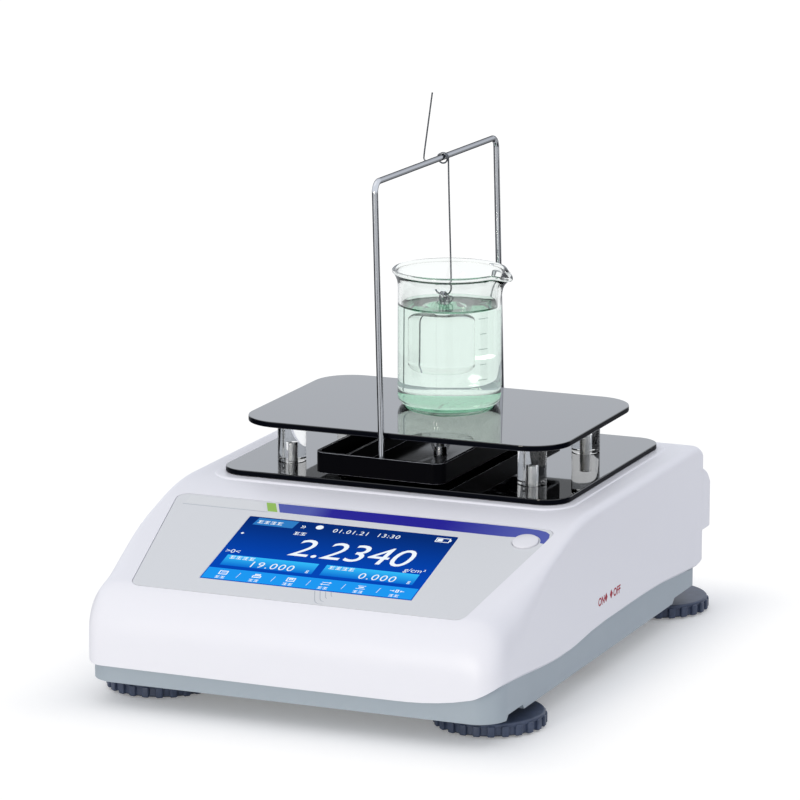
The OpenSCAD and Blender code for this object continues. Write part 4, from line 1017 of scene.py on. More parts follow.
class METER_OT_screen(bpy.types.Operator):
    """Lights the screen and lays its numbers, fields and signs on the glass"""

    bl_idname = "meter.screen"
    bl_label = "Screen"

    def execute(self, context):
        console = sizes("meter_console")
        refined("touch_screen", screen_glass(), "screen_pane", edge=0.0, sharp=30)
        left, low = -console.screen_width / MM / 2, console.screen_low / MM
        origin = Matrix.Translation((left, low, 0))
        slot = "screen_glass"

        def finished(name, bm, *tones):
            closed(bm)
            carry(bm, origin)
            print_on_console(name, bm, lit_pixels(name + "_pixels", *tones), slot)

        bm = bmesh.new()
        bar_shape(bm, 0.4, 0.5, 105.7, 9.9, high=PRINT_T / 3)
        finished("screen_bar", bm, console.bar)
        bm = bmesh.new()
        for x in (4.4, 55.0):
            bar_shape(bm, x, 13.2, 46.6, 9.8, high=PRINT_T / 3)
        finished("screen_fields", bm, console.field, console.field_top)
        bm = bmesh.new()
        bar_shape(bm, 4.2, 52.3, 20.6, 6.6, slant=1.0, high=PRINT_T / 3)
        finished("screen_tab", bm, srgb("#2F7CC4"))

        bm = bmesh.new()
        write(bm, "2.2340", 16.6, (31.6, 28.0), shear=0.17, spread=0.985, weight=-0.05)
        write(bm, "19.000", 5.4, (17.8, 14.0), shear=0.08, spread=1.16, weight=-0.04)
        write(bm, "0.000", 5.4, (73.4, 14.0), shear=0.08, spread=1.16, weight=-0.04)
        write(bm, "g", 2.6, (47.4, 14.6))
        write(bm, "g", 2.6, (98.4, 14.6))
        write(bm, "g/cm³", 3.4, (92.6, 24.4), shear=0.12, weight=-0.02)
        write(bm, ">0<", 3.4, (1.6, 24.9), weight=-0.02)
        write(bm, "01.01.21  13:30", 3.4, (45.0, 52.6), shear=0.08, spread=1.16)
        write(bm, "»", 4.0, (28.4, 53.4))
        self.battery(bm)
        self.labels(bm)
        self.pictograms(bm)
        finished("screen_numbers", bm, srgb("#F2F9FF"))
        return {"FINISHED"}

    def battery(self, bm):
        """The charge sign at the top right: an outline with its stub and a part fill."""
        bars = [(96.8, 53.6, 7.0, 0.5), (96.8, 57.0, 7.0, 0.5), (96.8, 53.6, 0.5, 3.9)]
        bars += [(103.4, 53.6, 0.5, 3.9), (103.9, 54.8, 0.7, 1.5), (97.7, 54.5, 2.6, 2.1)]
        for bar in bars:
            bar_shape(bm, *bar)

    def labels(self, bm):
        """Places of small captions, which stay generic strokes."""
        for x, y, count in ((6.0, 54.0, 4), (27.6, 46.9, 2), (6.4, 19.6, 4), (57.0, 19.6, 4)):
            for i in range(count):
                self.glyph(bm, x + 3.3 * i, y, 2.7, i)
        slab(bm, [(2.0, 43.5), (2.9, 44.4), (3.8, 43.5), (2.9, 42.6)], 0, PRINT_T)
        slab(bm, disc(1.9, (37.6, 55.7), 24), 0, PRINT_T)

    def glyph(self, bm, x, y, size, kind):
        """A small sign of crossing strokes, which says nothing."""
        t = size * 0.14
        bar_shape(bm, x, y + size * 0.8, size, t)
        bar_shape(bm, x + size * 0.1, y + size * 0.42, size * 0.8, t)
        bar_shape(bm, x, y, size, t)
        bar_shape(bm, x + size * (0.28 + 0.14 * (kind % 3)), y, t, size)

    def box(self, bm, x, y, wide, high):
        """The outline of a small box about a point, or a plain bar where it is low."""
        t = 0.5
        if high < 2 * t:
            bar_shape(bm, x - wide / 2, y - high / 2, wide, high)
            return
        for dy in (-high / 2, high / 2 - t):
            bar_shape(bm, x - wide / 2, y + dy, wide, t)
        for dx in (-wide / 2, wide / 2 - t):
            bar_shape(bm, x + dx, y - high / 2, t, high)

    def pictograms(self, bm):
        """Six signs along the foot, with fine lines between them."""
        boxes = {
            9.3: [(0, 6.6, 4.4, 3.4), (0.2, 6.2, 2.4, 0.3), (0.2, 7.2, 2.4, 0.3)],
            26.4: [(0, 6.0, 4.4, 2.0), (0, 7.8, 2.8, 1.2), (0, 5.6, 2.4, 0.3)],
            43.6: [(0, 6.6, 4.2, 3.4), (0, 7.0, 2.0, 1.4)],
            61.3: [(0, 7.4, 4.2, 0.4), (0, 5.6, 4.2, 0.4)],
            79.0: [(0, 5.2, 4.6, 0.4), (0, 6.6, 2.6, 0.8), (0, 7.8, 4.0, 0.3)],
            96.9: [(-2.6, 6.6, 1.8, 0.35), (2.6, 6.6, 1.8, 0.35), (0, 6.6, 1.6, 2.4)],
        }
        for i, (x, parts) in enumerate(boxes.items()):
            for dx, y, wide, high in parts:
                self.box(bm, x + dx, y, wide, high)
            for k in range(2):
                self.glyph(bm, x - 2.5 + 2.7 * k, 1.4, 2.1, i + k)
        for tip, side, y in ((63.9, -1, 7.4), (58.7, 1, 5.6), (94.2, 1, 6.6), (99.6, -1, 6.6)):
            root = tip + side * 1.1
            slab(bm, [(tip, y), (root, y + 0.75), (root, y - 0.75)][:: -side], 0, PRINT_T)
        for x in (17.6, 35.2, 53.1, 70.7, 88.2):
            bar_shape(bm, x - 0.6, 3.2, 0.22, 4.6, slant=0.6)


class METER_OT_button(bpy.types.Operator):
    """Turns the round push button"""

    bl_idname = "meter.button"
    bl_label = "Button"

    def execute(self, context):
        low, cap = -6.2, -3.2
        radius = 6.2
        profile = [(0, low), (1.6, low), (1.6, cap), (radius, cap), (radius, 0.1)]
        profile += arc(radius - 0.7, 0.1, 0.7, 0, 70, 6)
        profile += [(4.0, 1.02), (2.0, 1.15), (0, 1.18)]
        bm = bmesh.new()
        lathe(bm, profile, steps=72)
        carry(bm, console_matrix() @ Matrix.Translation((*BUTTON, 0)))
        cap_look = polished_button_plastic()
        piece("push_button", bm, cap_look, "button", "button_plastic", "power_button", sharp=40)
        return {"FINISHED"}


class METER_OT_switch_mark(bpy.types.Operator):
    """Prints ON and OFF with two arrows on the right side, over the power switch"""

    bl_idname = "meter.switch_mark"
    bl_label = "Switch mark"

    def execute(self, context):
        half = sizes("meter_housing").width / MM / 2
        bm = bmesh.new()
        # The print is drawn in X and Y, then stood up against the right side
        stood = Matrix.Rotation(radians(90), 4, "Z") @ Matrix.Rotation(radians(90), 4, "X")
        write(bm, "ON", 4.0, (0.4, -0.3), weight=0.16)
        write(bm, "OFF", 4.0, (21.2, -0.3), weight=0.16)
        slab(bm, [(9.0, 1.8), (11.2, 4.1), (13.0, 1.8), (11.2, -0.5)], 0, PRINT_T)
        slab(bm, [(20.2, 1.8), (18.0, 4.1), (16.2, 1.8), (18.0, -0.5)], 0, PRINT_T)
        carry(bm, Matrix.Translation((half, -21, 37.4)) @ stood)
        piece("switch_mark", bm, print_ink("printed_red_mark", srgb("#A82038")), "housing", "white_abs")
        return {"FINISHED"}


def plate(width, length_, radius, middle, low, edge):
    bm = closed_slab(rounded(width, length_, radius, 16, middle), low, low + PLATE_T)
    rims = [e for e in bm.edges if abs(e.verts[0].co.z - e.verts[1].co.z) < 0.01]
    bevelled(bm, rims, edge, 2)
    return bm


class METER_OT_plates(bpy.types.Operator):
    """Cuts the two black plates with polished edges and sets the clear legs between them"""

    bl_idname = "meter.plates"
    bl_label = "Plates and legs"

    def execute(self, context):
        deck = sizes("meter_deck")
        black, cut = black_acrylic(), cut_acrylic()
        edge = deck.plate_edge / MM
        bm = plate(178.6, 143, 13, (0, FRONT + 192.2), DECK_H, edge)
        bm = carve(solid_of(bm), closed_slab(disc(9, SPINDLE), DECK_H - 2, DECK_H + 8))
        piece("deck_mirror", bm, black, "housing", "black_acrylic", "deck_plate", sharp=30, sides=cut)
        bm = plate(166.4, 117.1, 20, (0, FRONT + 187.2), PLATFORM_TOP - PLATE_T, edge)
        piece("platform_mirror", bm, black, "housing", "black_acrylic", "platform_plate", sharp=30, sides=cut)
        clear = clear_acrylic()
        for corner_name in ("fl", "fr", "rl", "rr"):
            refined("platform_leg_" + corner_name, clear, "clear_leg_" + corner_name, edge=0.0, sharp=30)
        return {"FINISHED"}


class METER_OT_tray(bpy.types.Operator):
    """Softens the weighing tray's edges, with a painted highlight along them, and its wing nut"""

    bl_idname = "meter.tray"
    bl_label = "Tray and wing nut"

    def execute(self, context):
        deck = sizes("meter_deck")
        enamel = tray_enamel("baked_black_enamel", 0.12, 0.1)
        walls = tray_enamel("satin_black_enamel", 0.35, 0.02)
        # The rounded edges get a bright metal finish: a painted highlight along the tray's edges.
        painted_highlight_rim = machined_metal("edge_painted_highlight", srgb("#DCDDE2"), 0.3, 0.6, 0.003)
        edge = deck.tray_edge / MM
        refined("weighing_tray", enamel, "tray_pressing", edge=edge, steps=3, sides=walls, rim=painted_highlight_rim)
        nickel = machined_metal("tumbled_nickel", srgb("#ECEDF0"), 0.22, 1.0, 0.004)
        refined("tray_wing_nut", nickel, "wing_nut_casting", edge=0.12)
        return {"FINISHED"}


# Density set

# Axes of the tray and the frame: turned, then leant to the left
TRAY_MIDDLE = (-3.4, 48.0)
TRAY_TURN = 1.5
FRAME_LEAN = 1.6
FRAME_X = 1.1
FRAME_SPAN = 146.5
BAR_H = 233.8
WIRE_Y = 56.1
SINKER_X = -5.3
HOOK_H = 165.6
HOOK_R = 3.5


def frame_matrix():
    tray = Matrix.Translation((*TRAY_MIDDLE, 0)) @ Matrix.Rotation(radians(-TRAY_TURN), 4, "Z")
    return tray @ Matrix.Translation((FRAME_X, 0, TRAY_FLOOR)) @ Matrix.Rotation(radians(-FRAME_LEAN), 4, "Y")


class METER_OT_frame(bpy.types.Operator):
    """Bends the chromed wire frame"""

    bl_idname = "meter.frame"
    bl_label = "Wire frame"

    def execute(self, context):
        rod = sizes("meter_set").rod / MM / 2
        high = (BAR_H - TRAY_FLOOR) / cos(radians(FRAME_LEAN))
        half, bend = FRAME_SPAN / 2, 5.0
        path = [(0, -half, 0.2), (0, -half, high - bend)]
        rise, drop = [radians(9 * i) for i in range(1, 11)], [radians(9 * i) for i in range(10)]
        path += [(0, -half + bend - bend * cos(t), high - bend + bend * sin(t)) for t in rise]
        path += [(0, half - bend + bend * sin(t), high - bend + bend * cos(t)) for t in drop]
        path += [(0, half, high - bend), (0, half, 0.2)]
        bm = bmesh.new()
        tube(bm, path, rod, kind="POLY", around=7)
        carry(bm, frame_matrix())
        chrome = drawn_chrome("drawn_rod_chrome", 0.1, 0.6)
        piece("frame_rod", bm, chrome, "frame", "chrome_rod", "hanger_frame", sharp=50)
        return {"FINISHED"}


class METER_OT_hanger(bpy.types.Operator):
    """Winds the thin wire round the bar and down to its hook"""

    bl_idname = "meter.hanger"
    bl_label = "Hanger wire"

    def execute(self, context):
        radius = sizes("meter_set").wire / MM / 2
        lean, turn = radians(FRAME_LEAN), radians(TRAY_TURN)
        bar_x = (
            TRAY_MIDDLE[0]
            + (FRAME_X - (BAR_H - TRAY_FLOOR) * tan(lean)) * cos(turn)
            + (WIRE_Y - TRAY_MIDDLE[1]) * sin(turn)
        )
        gap = 0.6
        loop_r = 1.5 + radius + gap
        loop_h = BAR_H - gap + 0.12
        hook = []
        for i in range(11):
            t = radians(180 - 18 * i)
            outer = t > pi / 2
            wide = HOOK_R + 1.2 if outer else HOOK_R
            high = 2.4 if outer else HOOK_R
            hook.append((SINKER_X + wide * cos(t), 0, HOOK_H + high * (1 - sin(t))))
        rise = [(SINKER_X + HOOK_R, 0, HOOK_H + HOOK_R + 2), (SINKER_X + HOOK_R - 0.4, 0, HOOK_H + 20)]
        rise += [(bar_x + loop_r + 0.2, 0, loop_h - 12)]
        loop = []
        for i in range(37):
            t = tau * 1.5 * i / 36
            loop.append((bar_x + loop_r * cos(t), -2.2 * i / 36, loop_h + loop_r * sin(t)))
        tail_x, lean_out, tail_l = 9.6, 4.4, 32.5
        out = [(loop_r + 0.5, -1.5), (loop_r + 1.8, -2.2), (tail_x - 2, -2.4), (tail_x - 0.8, -1.9)]
        out += [(tail_x - 0.1, -0.9), (tail_x, 0.3)]
        out += [(tail_x - lean_out * 0.4, tail_l * 0.4), (tail_x - lean_out, tail_l - radius)]
        tail = [(bar_x - x, -2.2, loop_h + z) for x, z in out]
        bm = bmesh.new()
        tube(bm, hook + rise + loop + tail, radius, around=3, resolution=3)
        shift(bm, 0, WIRE_Y, 0)
        chrome = drawn_chrome("drawn_thin_wire", 0.18, 0.4, "#7A7C80")
        piece("hanger_strand", bm, chrome, "hanger", "chrome_rod", "hanger_wire", sharp=60)
        return {"FINISHED"}


class METER_OT_sinker(bpy.types.Operator):
    """Blows the glass sinker with its neck, its ring and the twisted thread round them"""

    bl_idname = "meter.sinker"
    bl_label = "Sinker"

    def execute(self, context):
        ring_r, ring_wire, neck = 2.2, 0.75, 5.5
        ring_h = HOOK_H + 0.4 + ring_wire + 0.1 - ring_r
        top = ring_h - ring_r - neck
        low, radius, edge = top - 29, 11, 3.6
        profile = [(0, low)] + arc(radius - edge, low + edge, edge, -90, 0, 8)
        profile += arc(radius - edge, top - edge, edge, 0, 90, 8)
        profile += [(3.2, top + 0.1), (2.4, top + 0.8), (1.9, top + 1.8), (1.7, top + 3.2), (0, top + 3.2)]
        middle = (SINKER_X, WIRE_Y)
        bm = bmesh.new()
        lathe(bm, profile, middle, steps=72)
        glass = laboratory_glass("sinker_glass_in_liquid", 1.17, srgb("#FFFFFF"))
        piece("sinker_bulb", bm, glass, "sinker", "lab_glass", "sinker", sharp=50)
        bm = bmesh.new()
        circle = [tau * i / 32 for i in range(33)]
        ring = [(SINKER_X, WIRE_Y + ring_r * cos(a), ring_h + ring_r * sin(a)) for a in circle]
        tube(bm, ring, ring_wire * 0.7, "POLY", around=4)
        # The thin wire's coils round the neck, and its loose loops
        turns = [tau * 3 * i / 60 for i in range(61)]
        coil = [(SINKER_X + 2.4 * cos(a), WIRE_Y + 2.4 * sin(a), top + 1.6 + 0.2 * a) for a in turns]
        tube(bm, coil, 0.25, "NURBS", around=3, resolution=2)
        # Each loop's turn in degrees, half width, half height, tilt and height from the ring
        loops = [(10, 4.3, 2.2, 0.45, -2.6), (60, 3.4, 3.0, -0.6, -2.0), (115, 4.4, 1.8, 0.3, -3.4)]
        loops += [(160, 3.0, 3.4, 0.7, -1.6), (35, 2.4, 3.6, -0.2, -1.2)]
        for turn, wide, high, tilt, rise in loops:
            t0 = radians(turn)
            bow = []
            for a in [tau * i / 24 for i in range(25)]:
                r, z = wide * cos(a), high * sin(a)
                bow.append((SINKER_X + r * cos(t0), WIRE_Y + r * sin(t0), ring_h + rise + z + tilt * r))
            tube(bm, bow, 0.27, "NURBS", around=3, resolution=2)
        thread = drawn_chrome("silvered_thin_wire", 0.05, 0.8, "#9A9CA0")
        piece("sinker_thread", bm, thread, "sinker", "lab_glass", sharp=60)
        return {"FINISHED"}


# The beaker's own sizes: outer radius, height, wall, floor, flare and spout
BEAKER_X, BEAKER_Y = -0.5, 51.1
BEAKER_R, BEAKER_H, BEAKER_WALL, BEAKER_FLOOR = 25.5, 68.0, 1.6, 2.2
RIM_FLARE, SPOUT_OUT, SPOUT_DROP, BASE_ROUND = 4.0, 4.7, 3.0, 5.0


def spout(a):
    u = min(a, tau - a) / radians(24)
    return 0.0 if u >= 1 else cos(radians(90 * u)) ** 2


def beaker_radius(a, z):
    """Outer radius at an angle and a height over the base."""
    flare = max(0.0, (z - BEAKER_H + 9) / 9) ** 2
    out = max(0.0, (z - BEAKER_H + 20) / 20) ** 1.6
    base = BASE_ROUND * fall(1 - z / BASE_ROUND, 2)
    return BEAKER_R - base + RIM_FLARE * flare + SPOUT_OUT * spout(a) * out


def spout_drop(a, z):
    return SPOUT_DROP * spout(a) * max(0.0, (z - BEAKER_H + 12) / 12) ** 2


def floor_round(z):
    """How far the inner wall draws in near the floor."""
    return 3.4 * fall(1 - (z - BEAKER_FLOOR) / 5, 2)


def inner_radius(z):
    """Radius of the liquid's side, just inside the wall's inner face."""
    return BEAKER_R - BEAKER_WALL - floor_round(z)


class METER_OT_beaker(bpy.types.Operator):
    """Blows the beaker with its rolled rim, spout and graduation, and fills it with liquid"""

    bl_idname = "meter.beaker"
    bl_label = "Beaker and liquid"

    def execute(self, context):
        density = sizes("meter_set")
        angles = [tau * i / 120 for i in range(121)]
        heights = [0.0, 0.25, 0.8, 1.6, 2.6, 3.8, BASE_ROUND]
        heights += [9, 18, 30, 42, 48, 51, 54, 57, 59, 61, 62.5, 64, 65.2, 66.2]
        rings = [[(0.0, 0.0, 0.0)] * len(angles)]
        rings += [[self.at(a, z, 0) for a in angles] for z in heights]
        # The rolled rim: a bead a little thicker than the wall
        bead = 1.05
        for t in range(-60, 241, 30):
            turn = radians(t)
            out, up = -bead + bead * cos(turn), bead * sin(turn)
            rings.append([self.at(a, BEAKER_H - bead - 0.3, out, up) for a in angles])
        inner = [65.4, 64, 62.5, 61, 59, 57, 54, 51, 48, 42, 30, 18, 9]
        inner += [7.2, 5.6, 4.4, 3.4, 2.7, 2.3, BEAKER_FLOOR]
        for z in inner:
            rings.append([self.inside(a, z) for a in angles])
        rings.append([(0.0, 0.0, BEAKER_FLOOR)] * len(angles))
        bm = bmesh.new()
        cloth_of_rings(bm, rings)
        closed(bm, 1e-3)
        shift(bm, BEAKER_X, BEAKER_Y, PLATFORM_TOP)
        glass = laboratory_glass("blown_borosilicate", 1.47, tuple(density.glass))
        beaker = piece("beaker_glass", bm, glass, "beaker", "lab_glass", "beaker", sharp=60).data
        # The underside takes the ground glass, whose glow is painted light.
        beaker.materials.append(ground_glass_with_painted_glow())
        for face in beaker.polygons:
            if face.normal.z < -0.9 and face.center.z < (PLATFORM_TOP + 0.3) * MM:
                face.material_index = 1
        self.liquid(density)
        self.graduation()
        return {"FINISHED"}

    def at(self, a, z, offset, rise=0.0):
        r = beaker_radius(a, z) + offset
        return (r * cos(a), r * sin(a), z + rise - spout_drop(a, z))

    def inside(self, a, z):
        r = beaker_radius(a, max(z, BASE_ROUND)) - BEAKER_WALL - floor_round(z)
        return (r * cos(a), r * sin(a), z - spout_drop(a, z))

    def liquid(self, density):
        """The liquid reaches a little into the wall, and climbs it in a meniscus."""
        level = density.level / MM
        into = 0.05
        profile = [(0, BEAKER_FLOOR - into)]
        heights = [BEAKER_FLOOR, 2.4, 2.9, 3.6, 4.6, 5.8, 7.2, 12, 20, 30, 40, level - 2, level + 1.4]
        profile += [(inner_radius(z) + into, z) for z in heights]
        wall = inner_radius(level)
        profile += [(wall - 0.15, level + 1.3), (wall - 0.5, level + 0.75), (wall - 1.1, level + 0.3)]
        profile += [(wall - 2.2, level), (wall * 0.5, level), (0, level)]
        bm = bmesh.new()
        lathe(bm, profile, steps=96)
        shift(bm, BEAKER_X, BEAKER_Y, PLATFORM_TOP)
        piece("beaker_liquid", bm, measured_liquid(), "beaker", "lab_glass", sharp=50)

    def graduation(self):
        """Enamel lines on the glass, longer at every second step."""
        bm = bmesh.new()
        facing = radians(-28)
        for i in range(6):
            z = 16 + 7.6 * i
            span = radians(9 if i % 2 else 13)
            steps = 8
            angles = [facing - span / 2 + span * k / steps for k in range(steps + 1)]
            rings = []
            for r, dz in ((0.01, 0), (0.01, 0.35), (0.05, 0.35), (0.05, 0), (0.01, 0)):
                rings.append([((BEAKER_R + r) * cos(a), (BEAKER_R + r) * sin(a), z + dz) for a in angles])
            cloth_of_rings(bm, rings)
        capped(bm)
        shift(bm, BEAKER_X, BEAKER_Y, PLATFORM_TOP)
        enamel = print_ink("fired_white_enamel", srgb("#BFD6CB"))
        piece("beaker_graduation", bm, enamel, "beaker", "lab_glass")


class METER_OT_feet(bpy.types.Operator):
    """Softens the four serrated levelling feet"""

    bl_idname = "meter.feet"
    bl_label = "Levelling feet"

    def execute(self, context):
        slate = moulded_knob_plastic()
        for y_name, y in (("f", FOOT_FRONT), ("r", FOOT_REAR)):
            for x_name, x in (("l", -FOOT_X), ("r", FOOT_X)):
                self.foot(y_name + x_name, (x, FRONT + y), slate)
        return {"FINISHED"}

    def foot(self, place, middle, slate):
        """A disc on its stud, hollow under for the sole, with upright ribs below its rim."""
        feet = sizes("meter_feet")
        edge, root, tip = feet.edge / MM, 24.9, 26.4
        bm = bmesh.new()
        profile = [(0, 5.2), (4.05, 5.2), (4.05, 2.6), (19.8, 2.6), (19.8, 0.6), (root - 1.4, 0.6)]
        profile += [(root, 1.6), (root, 5.2), (25.5, 5.5)] + arc(24.5, 6.1, 1.1, 0, 90, 6)
        profile += [(9, 7.2), (7, 8.4), (4, 8.4), (4, 23.5), (0, 23.5)]
        lathe(bm, profile)
        for k in range(24):
            block = bmesh.new()
            bmesh.ops.create_cube(block, size=1)
            bmesh.ops.scale(block, vec=(tip - root + 2, 3.6, 5.3), verts=block.verts)
            bevelled(block, block.edges[:], edge + 0.5, 3)
            shift(block, (tip + root - 2) / 2, 0, 3.4)
            bmesh.ops.rotate(block, matrix=Matrix.Rotation(tau * (k + 0.5) / 24, 3, "Z"), verts=block.verts)
            part = mesh_of(block)
            bm.from_mesh(part)
            bpy.data.meshes.remove(part)
        shift(bm, *middle, 0)
        node = "foot_knob_" + place
        body = frame["nodes"][node]["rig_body"]
        piece("serrated_foot_" + place, bm, slate, body, slot_of(node), node, sharp=40)


class METER_OT_inner_finishes(bpy.types.Operator):
    """Gives every carried-over CAD node the finish of its real material"""

    bl_idname = "meter.inner_finishes"
    bl_label = "Inner finishes"

    def execute(self, context):
        board = circuit_board()
        aluminium = machined_metal("milled_aluminium", srgb("#C9CCD0"), 0.32, 0.6, 0.01)
        steel = machined_metal("zinc_plated_steel", srgb("#B8BCC2"), 0.28, 0.5, 0.008)
        black = moulded_plastic("moulded_black_nylon", srgb("#18181B"), 0.45, 0.5, 0.008)
        cover = tuple(sizes("meter_housing").grey)
        finishes = {
            "display_module": machined_metal("pressed_steel_frame", srgb("#B4B8BD"), 0.35, 1.0, 0.006),
            "button_board": board,
            "main_board": board,
            "battery_pack": battery_film(),
            "battery_cover": moulded_plastic("moulded_grey_cover", cover, 0.45, 0.5, 0.008),
            "power_socket": black,
            "serial_port": machined_metal("tinned_connector_steel", srgb("#BEC1C5"), 0.25, 0.8, 0.005),
            "switch_body": black,
            "switch_rocker": moulded_plastic("polished_black_rocker", srgb("#141416"), 0.2, 1.0, 0.002),
            "load_cell_base": aluminium,
            "load_cell": aluminium,
            "pan_spindle": aluminium,
            "load_cell_screws": steel,
            "overload_stop": steel,
            "leg_screws": machined_metal("blasted_nickel_screw", srgb("#F6F7F9"), 0.5, 0.5, 0.004, 0.6),
            "housing_screws": steel,
            "foot_inserts": machined_metal("turned_brass", srgb("#C8A24A"), 0.3, 0.4, 0.01),
        }
        rubber = sole_rubber()
        for place in ("fl", "fr", "rl", "rr"):
            finishes["foot_sole_" + place] = rubber
        for node, material in finishes.items():
            mesh = frame["nodes"][node].data
            mesh.materials.clear()
            mesh.materials.append(material)
        return {"FINISHED"}


# Studio

# The photograph's viewpoint: azimuth and height in degrees, distance and aim in millimetres
VIEW_AZIMUTH, VIEW_HEIGHT, VIEW_ROLL = 22.64, 12.44, 0.1
VIEW_DISTANCE, VIEW_RIGHT, VIEW_UP = 2231.17, -41.7, 149.16
VIEW_AIM = Vector((83.76, -105.0, 0.0))


class METER_OT_stage(bpy.types.Operator):
    """Sets up the pale floor, the soft lamps, the world and the camera"""

    bl_idname = "meter.stage"
    bl_label = "Stage"

    def execute(self, context):
        studio = sizes("meter_studio")
        self.camera(context, studio)
        self.floor(studio)
        self.world(context, studio)
        self.lamp("overhead", studio.lamp, 1.6, (-0.5, -0.3, 1.7), (0, 0, 0.05), studio.warm)
        self.lamp("front", studio.fill, 0.5, (-0.3, -2.2, 0.28), (0, 0, 0.05), studio.warm)
        # Wide leaning cards draw the dark lines of the metal, and low narrow strips those of the glass
        self.card("right_card", 88, studio.card_width, 300, 520, 160, False)
        self.card("left_card", -100, studio.card_width, 300, 520, 160, False)
        self.card("front_card", 0, studio.strip_width, 300, 1100, 10, False)
        self.card("right_strip", 90, studio.strip_width, 520, 520, 80, True)
        self.card("left_strip", -90, studio.strip_width, 520, 520, 80, True)
        context.scene.view_settings.view_transform = "Standard"
        return {"FINISHED"}

    def camera(self, context, studio):
        a, e, roll = (radians(v) for v in (VIEW_AZIMUTH, VIEW_HEIGHT, VIEW_ROLL))
        ahead = Vector((-sin(a) * cos(e), cos(a) * cos(e), -sin(e)))
        right = Vector((cos(a), sin(a), 0))
        up = right.cross(ahead)
        right, up = (right * cos(roll) + up * sin(roll), up * cos(roll) - right * sin(roll))
        place = VIEW_AIM - ahead * VIEW_DISTANCE + right * VIEW_RIGHT + up * VIEW_UP
        data = bpy.data.cameras.new("camera")
        data.sensor_fit = "HORIZONTAL"
        data.sensor_width = 36
        data.lens = studio.lens
        data.clip_end = 50
        made = linked("camera", data)
        made.matrix_world = Matrix.Translation(place * MM) @ Matrix((right, up, -ahead)).transposed().to_4x4()
        context.scene.camera = made

    def lamp(self, name, power, size, place, aim, tone):
        data = bpy.data.lights.new(name, "AREA")
        data.color = tone[:3]
        data.shape = "DISK"
        data.size = size
        data.energy = power
        made = linked(name, data)
        turn = (Vector(aim) - Vector(place)).to_track_quat("-Z", "Y")
        made.matrix_world = Matrix.Translation(place) @ turn.to_matrix().to_4x4()

    def card(self, name, turn, wide, near, far, high, through_glass):
        """A black card beside the object, seen only in gloss, or in gloss and through glass. It rises from
        near, on the floor, to high at far, all in mm. Turn is its angle from the camera's, in degrees."""
        near, far, high = near * MM, far * MM, high * MM
        bm = bmesh.new()
        bmesh.ops.create_grid(bm, x_segments=1, y_segments=1, size=0.5)
        bmesh.ops.scale(bm, vec=(wide, hypot(far - near, high), 1), verts=bm.verts)
        bmesh.ops.rotate(bm, matrix=Matrix.Rotation(atan2(high, near - far), 3, "X"), verts=bm.verts)
        shift(bm, 0, -(near + far) / 2, high / 2)
        bmesh.ops.rotate(bm, matrix=Matrix.Rotation(radians(VIEW_AZIMUTH + turn), 3, "Z"), verts=bm.verts)
        mesh = mesh_of(bm, name)
        mesh.materials.append(finish("matt_black_card", srgb("#050506"), 1.0).made)
        made = linked(name, mesh)
        made.visible_camera = made.visible_diffuse = made.visible_shadow = False
        made.visible_transmission = through_glass

    def floor(self, studio):
        """A wide floor that the camera sees as white, with the object's shadow on it."""
        bm = bmesh.new()
        bmesh.ops.create_grid(bm, x_segments=1, y_segments=1, size=20000)
        shift(bm, 0, 0, -0.05)
        bmesh.ops.scale(bm, vec=(MM, MM, MM), verts=bm.verts)
        made, tree, shader, place = finish("matt_paper_floor", tuple(studio.floor), 0.9)
        rays, seen = self.sight(tree)
        # Away from the object the floor fades into plain white for the camera, in gloss and through glass
        folded = add(tree, "VectorMath", {0: place}, operation="ABSOLUTE").outputs[0]
        beside = add(tree, "VectorMath", {0: folded, 1: (0.105, 0.145, 0)}, operation="SUBTRACT").outputs[0]
        past = add(tree, "VectorMath", {0: beside, 1: (0, 0, 0)}, operation="MAXIMUM").outputs[0]
        reach = add(tree, "VectorMath", {0: past}, operation="LENGTH").outputs["Value"]
        fade = add(tree, "MapRange", {"Value": reach, "From Max": 0.062}, interpolation_type="SMOOTHSTEP")
        far = add(tree, "Math", {0: fade.outputs[0], 1: seen}, operation="MULTIPLY").outputs[0]
        near = add(tree, "Math", {0: seen, 1: 0.19}, operation="MULTIPLY").outputs[0]
        amount = add(tree, "Mix", {"Factor": far, "A": near, "B": 1.0}).outputs[0]
        own = {"Factor": far, "A": tuple(studio.floor), "B": (0, 0, 0, 1)}
        base = add(tree, "Mix", own, data_type="RGBA").outputs["Result"]
        tone = self.tones(tree, rays, 1.0, studio.floor, studio.floor_gloss)
        for key, output in (("Base Color", base), ("Emission Color", tone), ("Emission Strength", amount)):
            tree.links.new(output, shader.inputs[key])
        mesh = mesh_of(bm, "floor")
        mesh.materials.append(made)
        linked("floor", mesh)

    def sight(self, tree):
        """The kinds of ray, and a 1 for what is seen directly, in gloss or through glass."""
        rays = add(tree, "LightPath").outputs
        direct = {0: rays["Is Camera Ray"], 1: rays["Is Glossy Ray"]}
        through = {0: add(tree, "Math", direct, operation="ADD").outputs[0], 1: rays["Is Transmission Ray"]}
        return rays, add(tree, "Math", through, operation="ADD", use_clamp=True).outputs[0]

    def tones(self, tree, rays, share, first, mirrored):
        """Runs a colour to white by the share, and gives gloss its own colour."""
        run = {"Factor": share, "A": tuple(first), "B": (1, 1, 1, 1)}
        plain = add(tree, "Mix", run, data_type="RGBA").outputs["Result"]
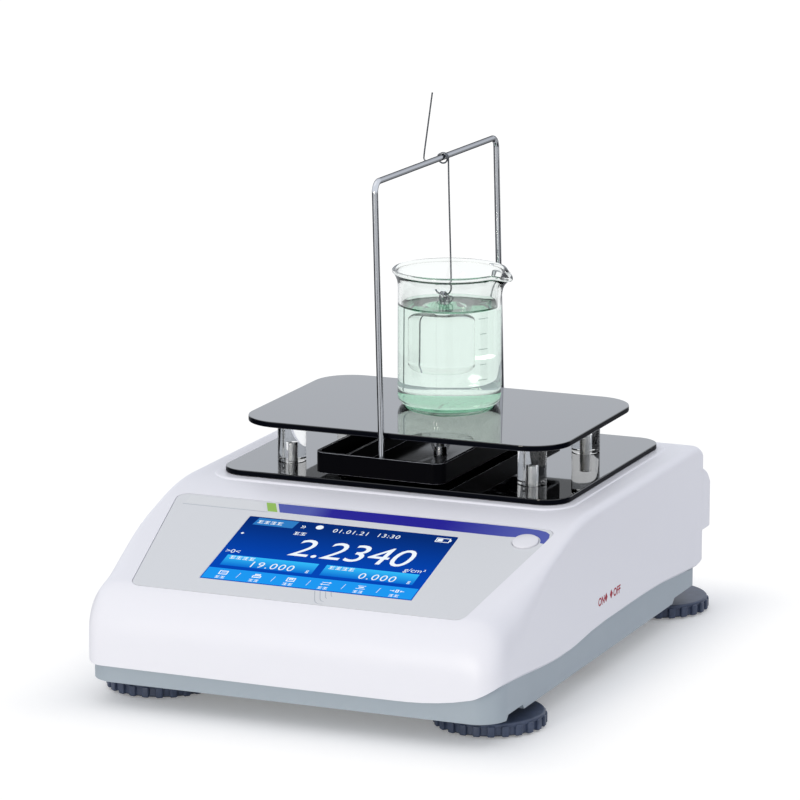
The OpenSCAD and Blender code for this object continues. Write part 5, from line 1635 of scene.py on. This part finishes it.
        # A ray through glass counts as glossy too, and sees the plain white
        bounced = {0: rays["Is Glossy Ray"], 1: rays["Is Transmission Ray"]}
        only_gloss = add(tree, "Math", bounced, operation="SUBTRACT", use_clamp=True).outputs[0]
        parts = {"Factor": only_gloss, "A": plain, "B": tuple(mirrored)}
        return add(tree, "Mix", parts, data_type="RGBA").outputs["Result"]

    def world(self, context, studio):
        """White for what is seen directly, in gloss or through glass, and a plainer light on the surfaces."""
        world = bpy.data.worlds.new("studio")
        world.use_nodes = True
        tree = world.node_tree
        tree.nodes.clear()
        rays, seen = self.sight(tree)
        strength = add(tree, "MapRange", {"Value": seen, "To Min": studio.ambient, "To Max": 1.0}).outputs[0]
        tone = self.tones(tree, rays, seen, studio.cool, studio.gloss)
        light = add(tree, "Background", {"Color": tone, "Strength": strength})
        add(tree, "OutputWorld", {"Surface": light.outputs[0]})
        context.scene.world = world


OPERATORS = [
    METER_OT_housing,
    METER_OT_base,
    METER_OT_console,
    METER_OT_screen,
    METER_OT_button,
    METER_OT_switch_mark,
    METER_OT_plates,
    METER_OT_tray,
    METER_OT_frame,
    METER_OT_hanger,
    METER_OT_sinker,
    METER_OT_beaker,
    METER_OT_feet,
    METER_OT_inner_finishes,
    METER_OT_stage,
]


class METER_PT_panel(bpy.types.Panel):
    """Lists the steps that build the meter, with their sizes and colours"""

    bl_idname = "METER_PT_panel"
    bl_label = "Density meter"
    bl_space_type = "VIEW_3D"
    bl_region_type = "UI"
    bl_category = "Density meter"

    def draw(self, context):
        for operator in OPERATORS:
            self.layout.operator(operator.bl_idname)
        for group, kind in GROUPS.items():
            box = self.layout.box()
            for key in kind.__annotations__:
                box.prop(getattr(context.scene, group), key)


def register():
    for cls in [*GROUPS.values(), *OPERATORS, METER_PT_panel]:
        bpy.utils.register_class(cls)
    for group, kind in GROUPS.items():
        setattr(bpy.types.Scene, group, bpy.props.PointerProperty(type=kind))


def unregister():
    for group in GROUPS:
        delattr(bpy.types.Scene, group)
    for cls in reversed([*GROUPS.values(), *OPERATORS, METER_PT_panel]):
        bpy.utils.unregister_class(cls)


def main():
    register()
    for operator in OPERATORS:
        group, name = operator.bl_idname.split(".")
        getattr(getattr(bpy.ops, group), name)()


if __name__ == "__main__":
    main()
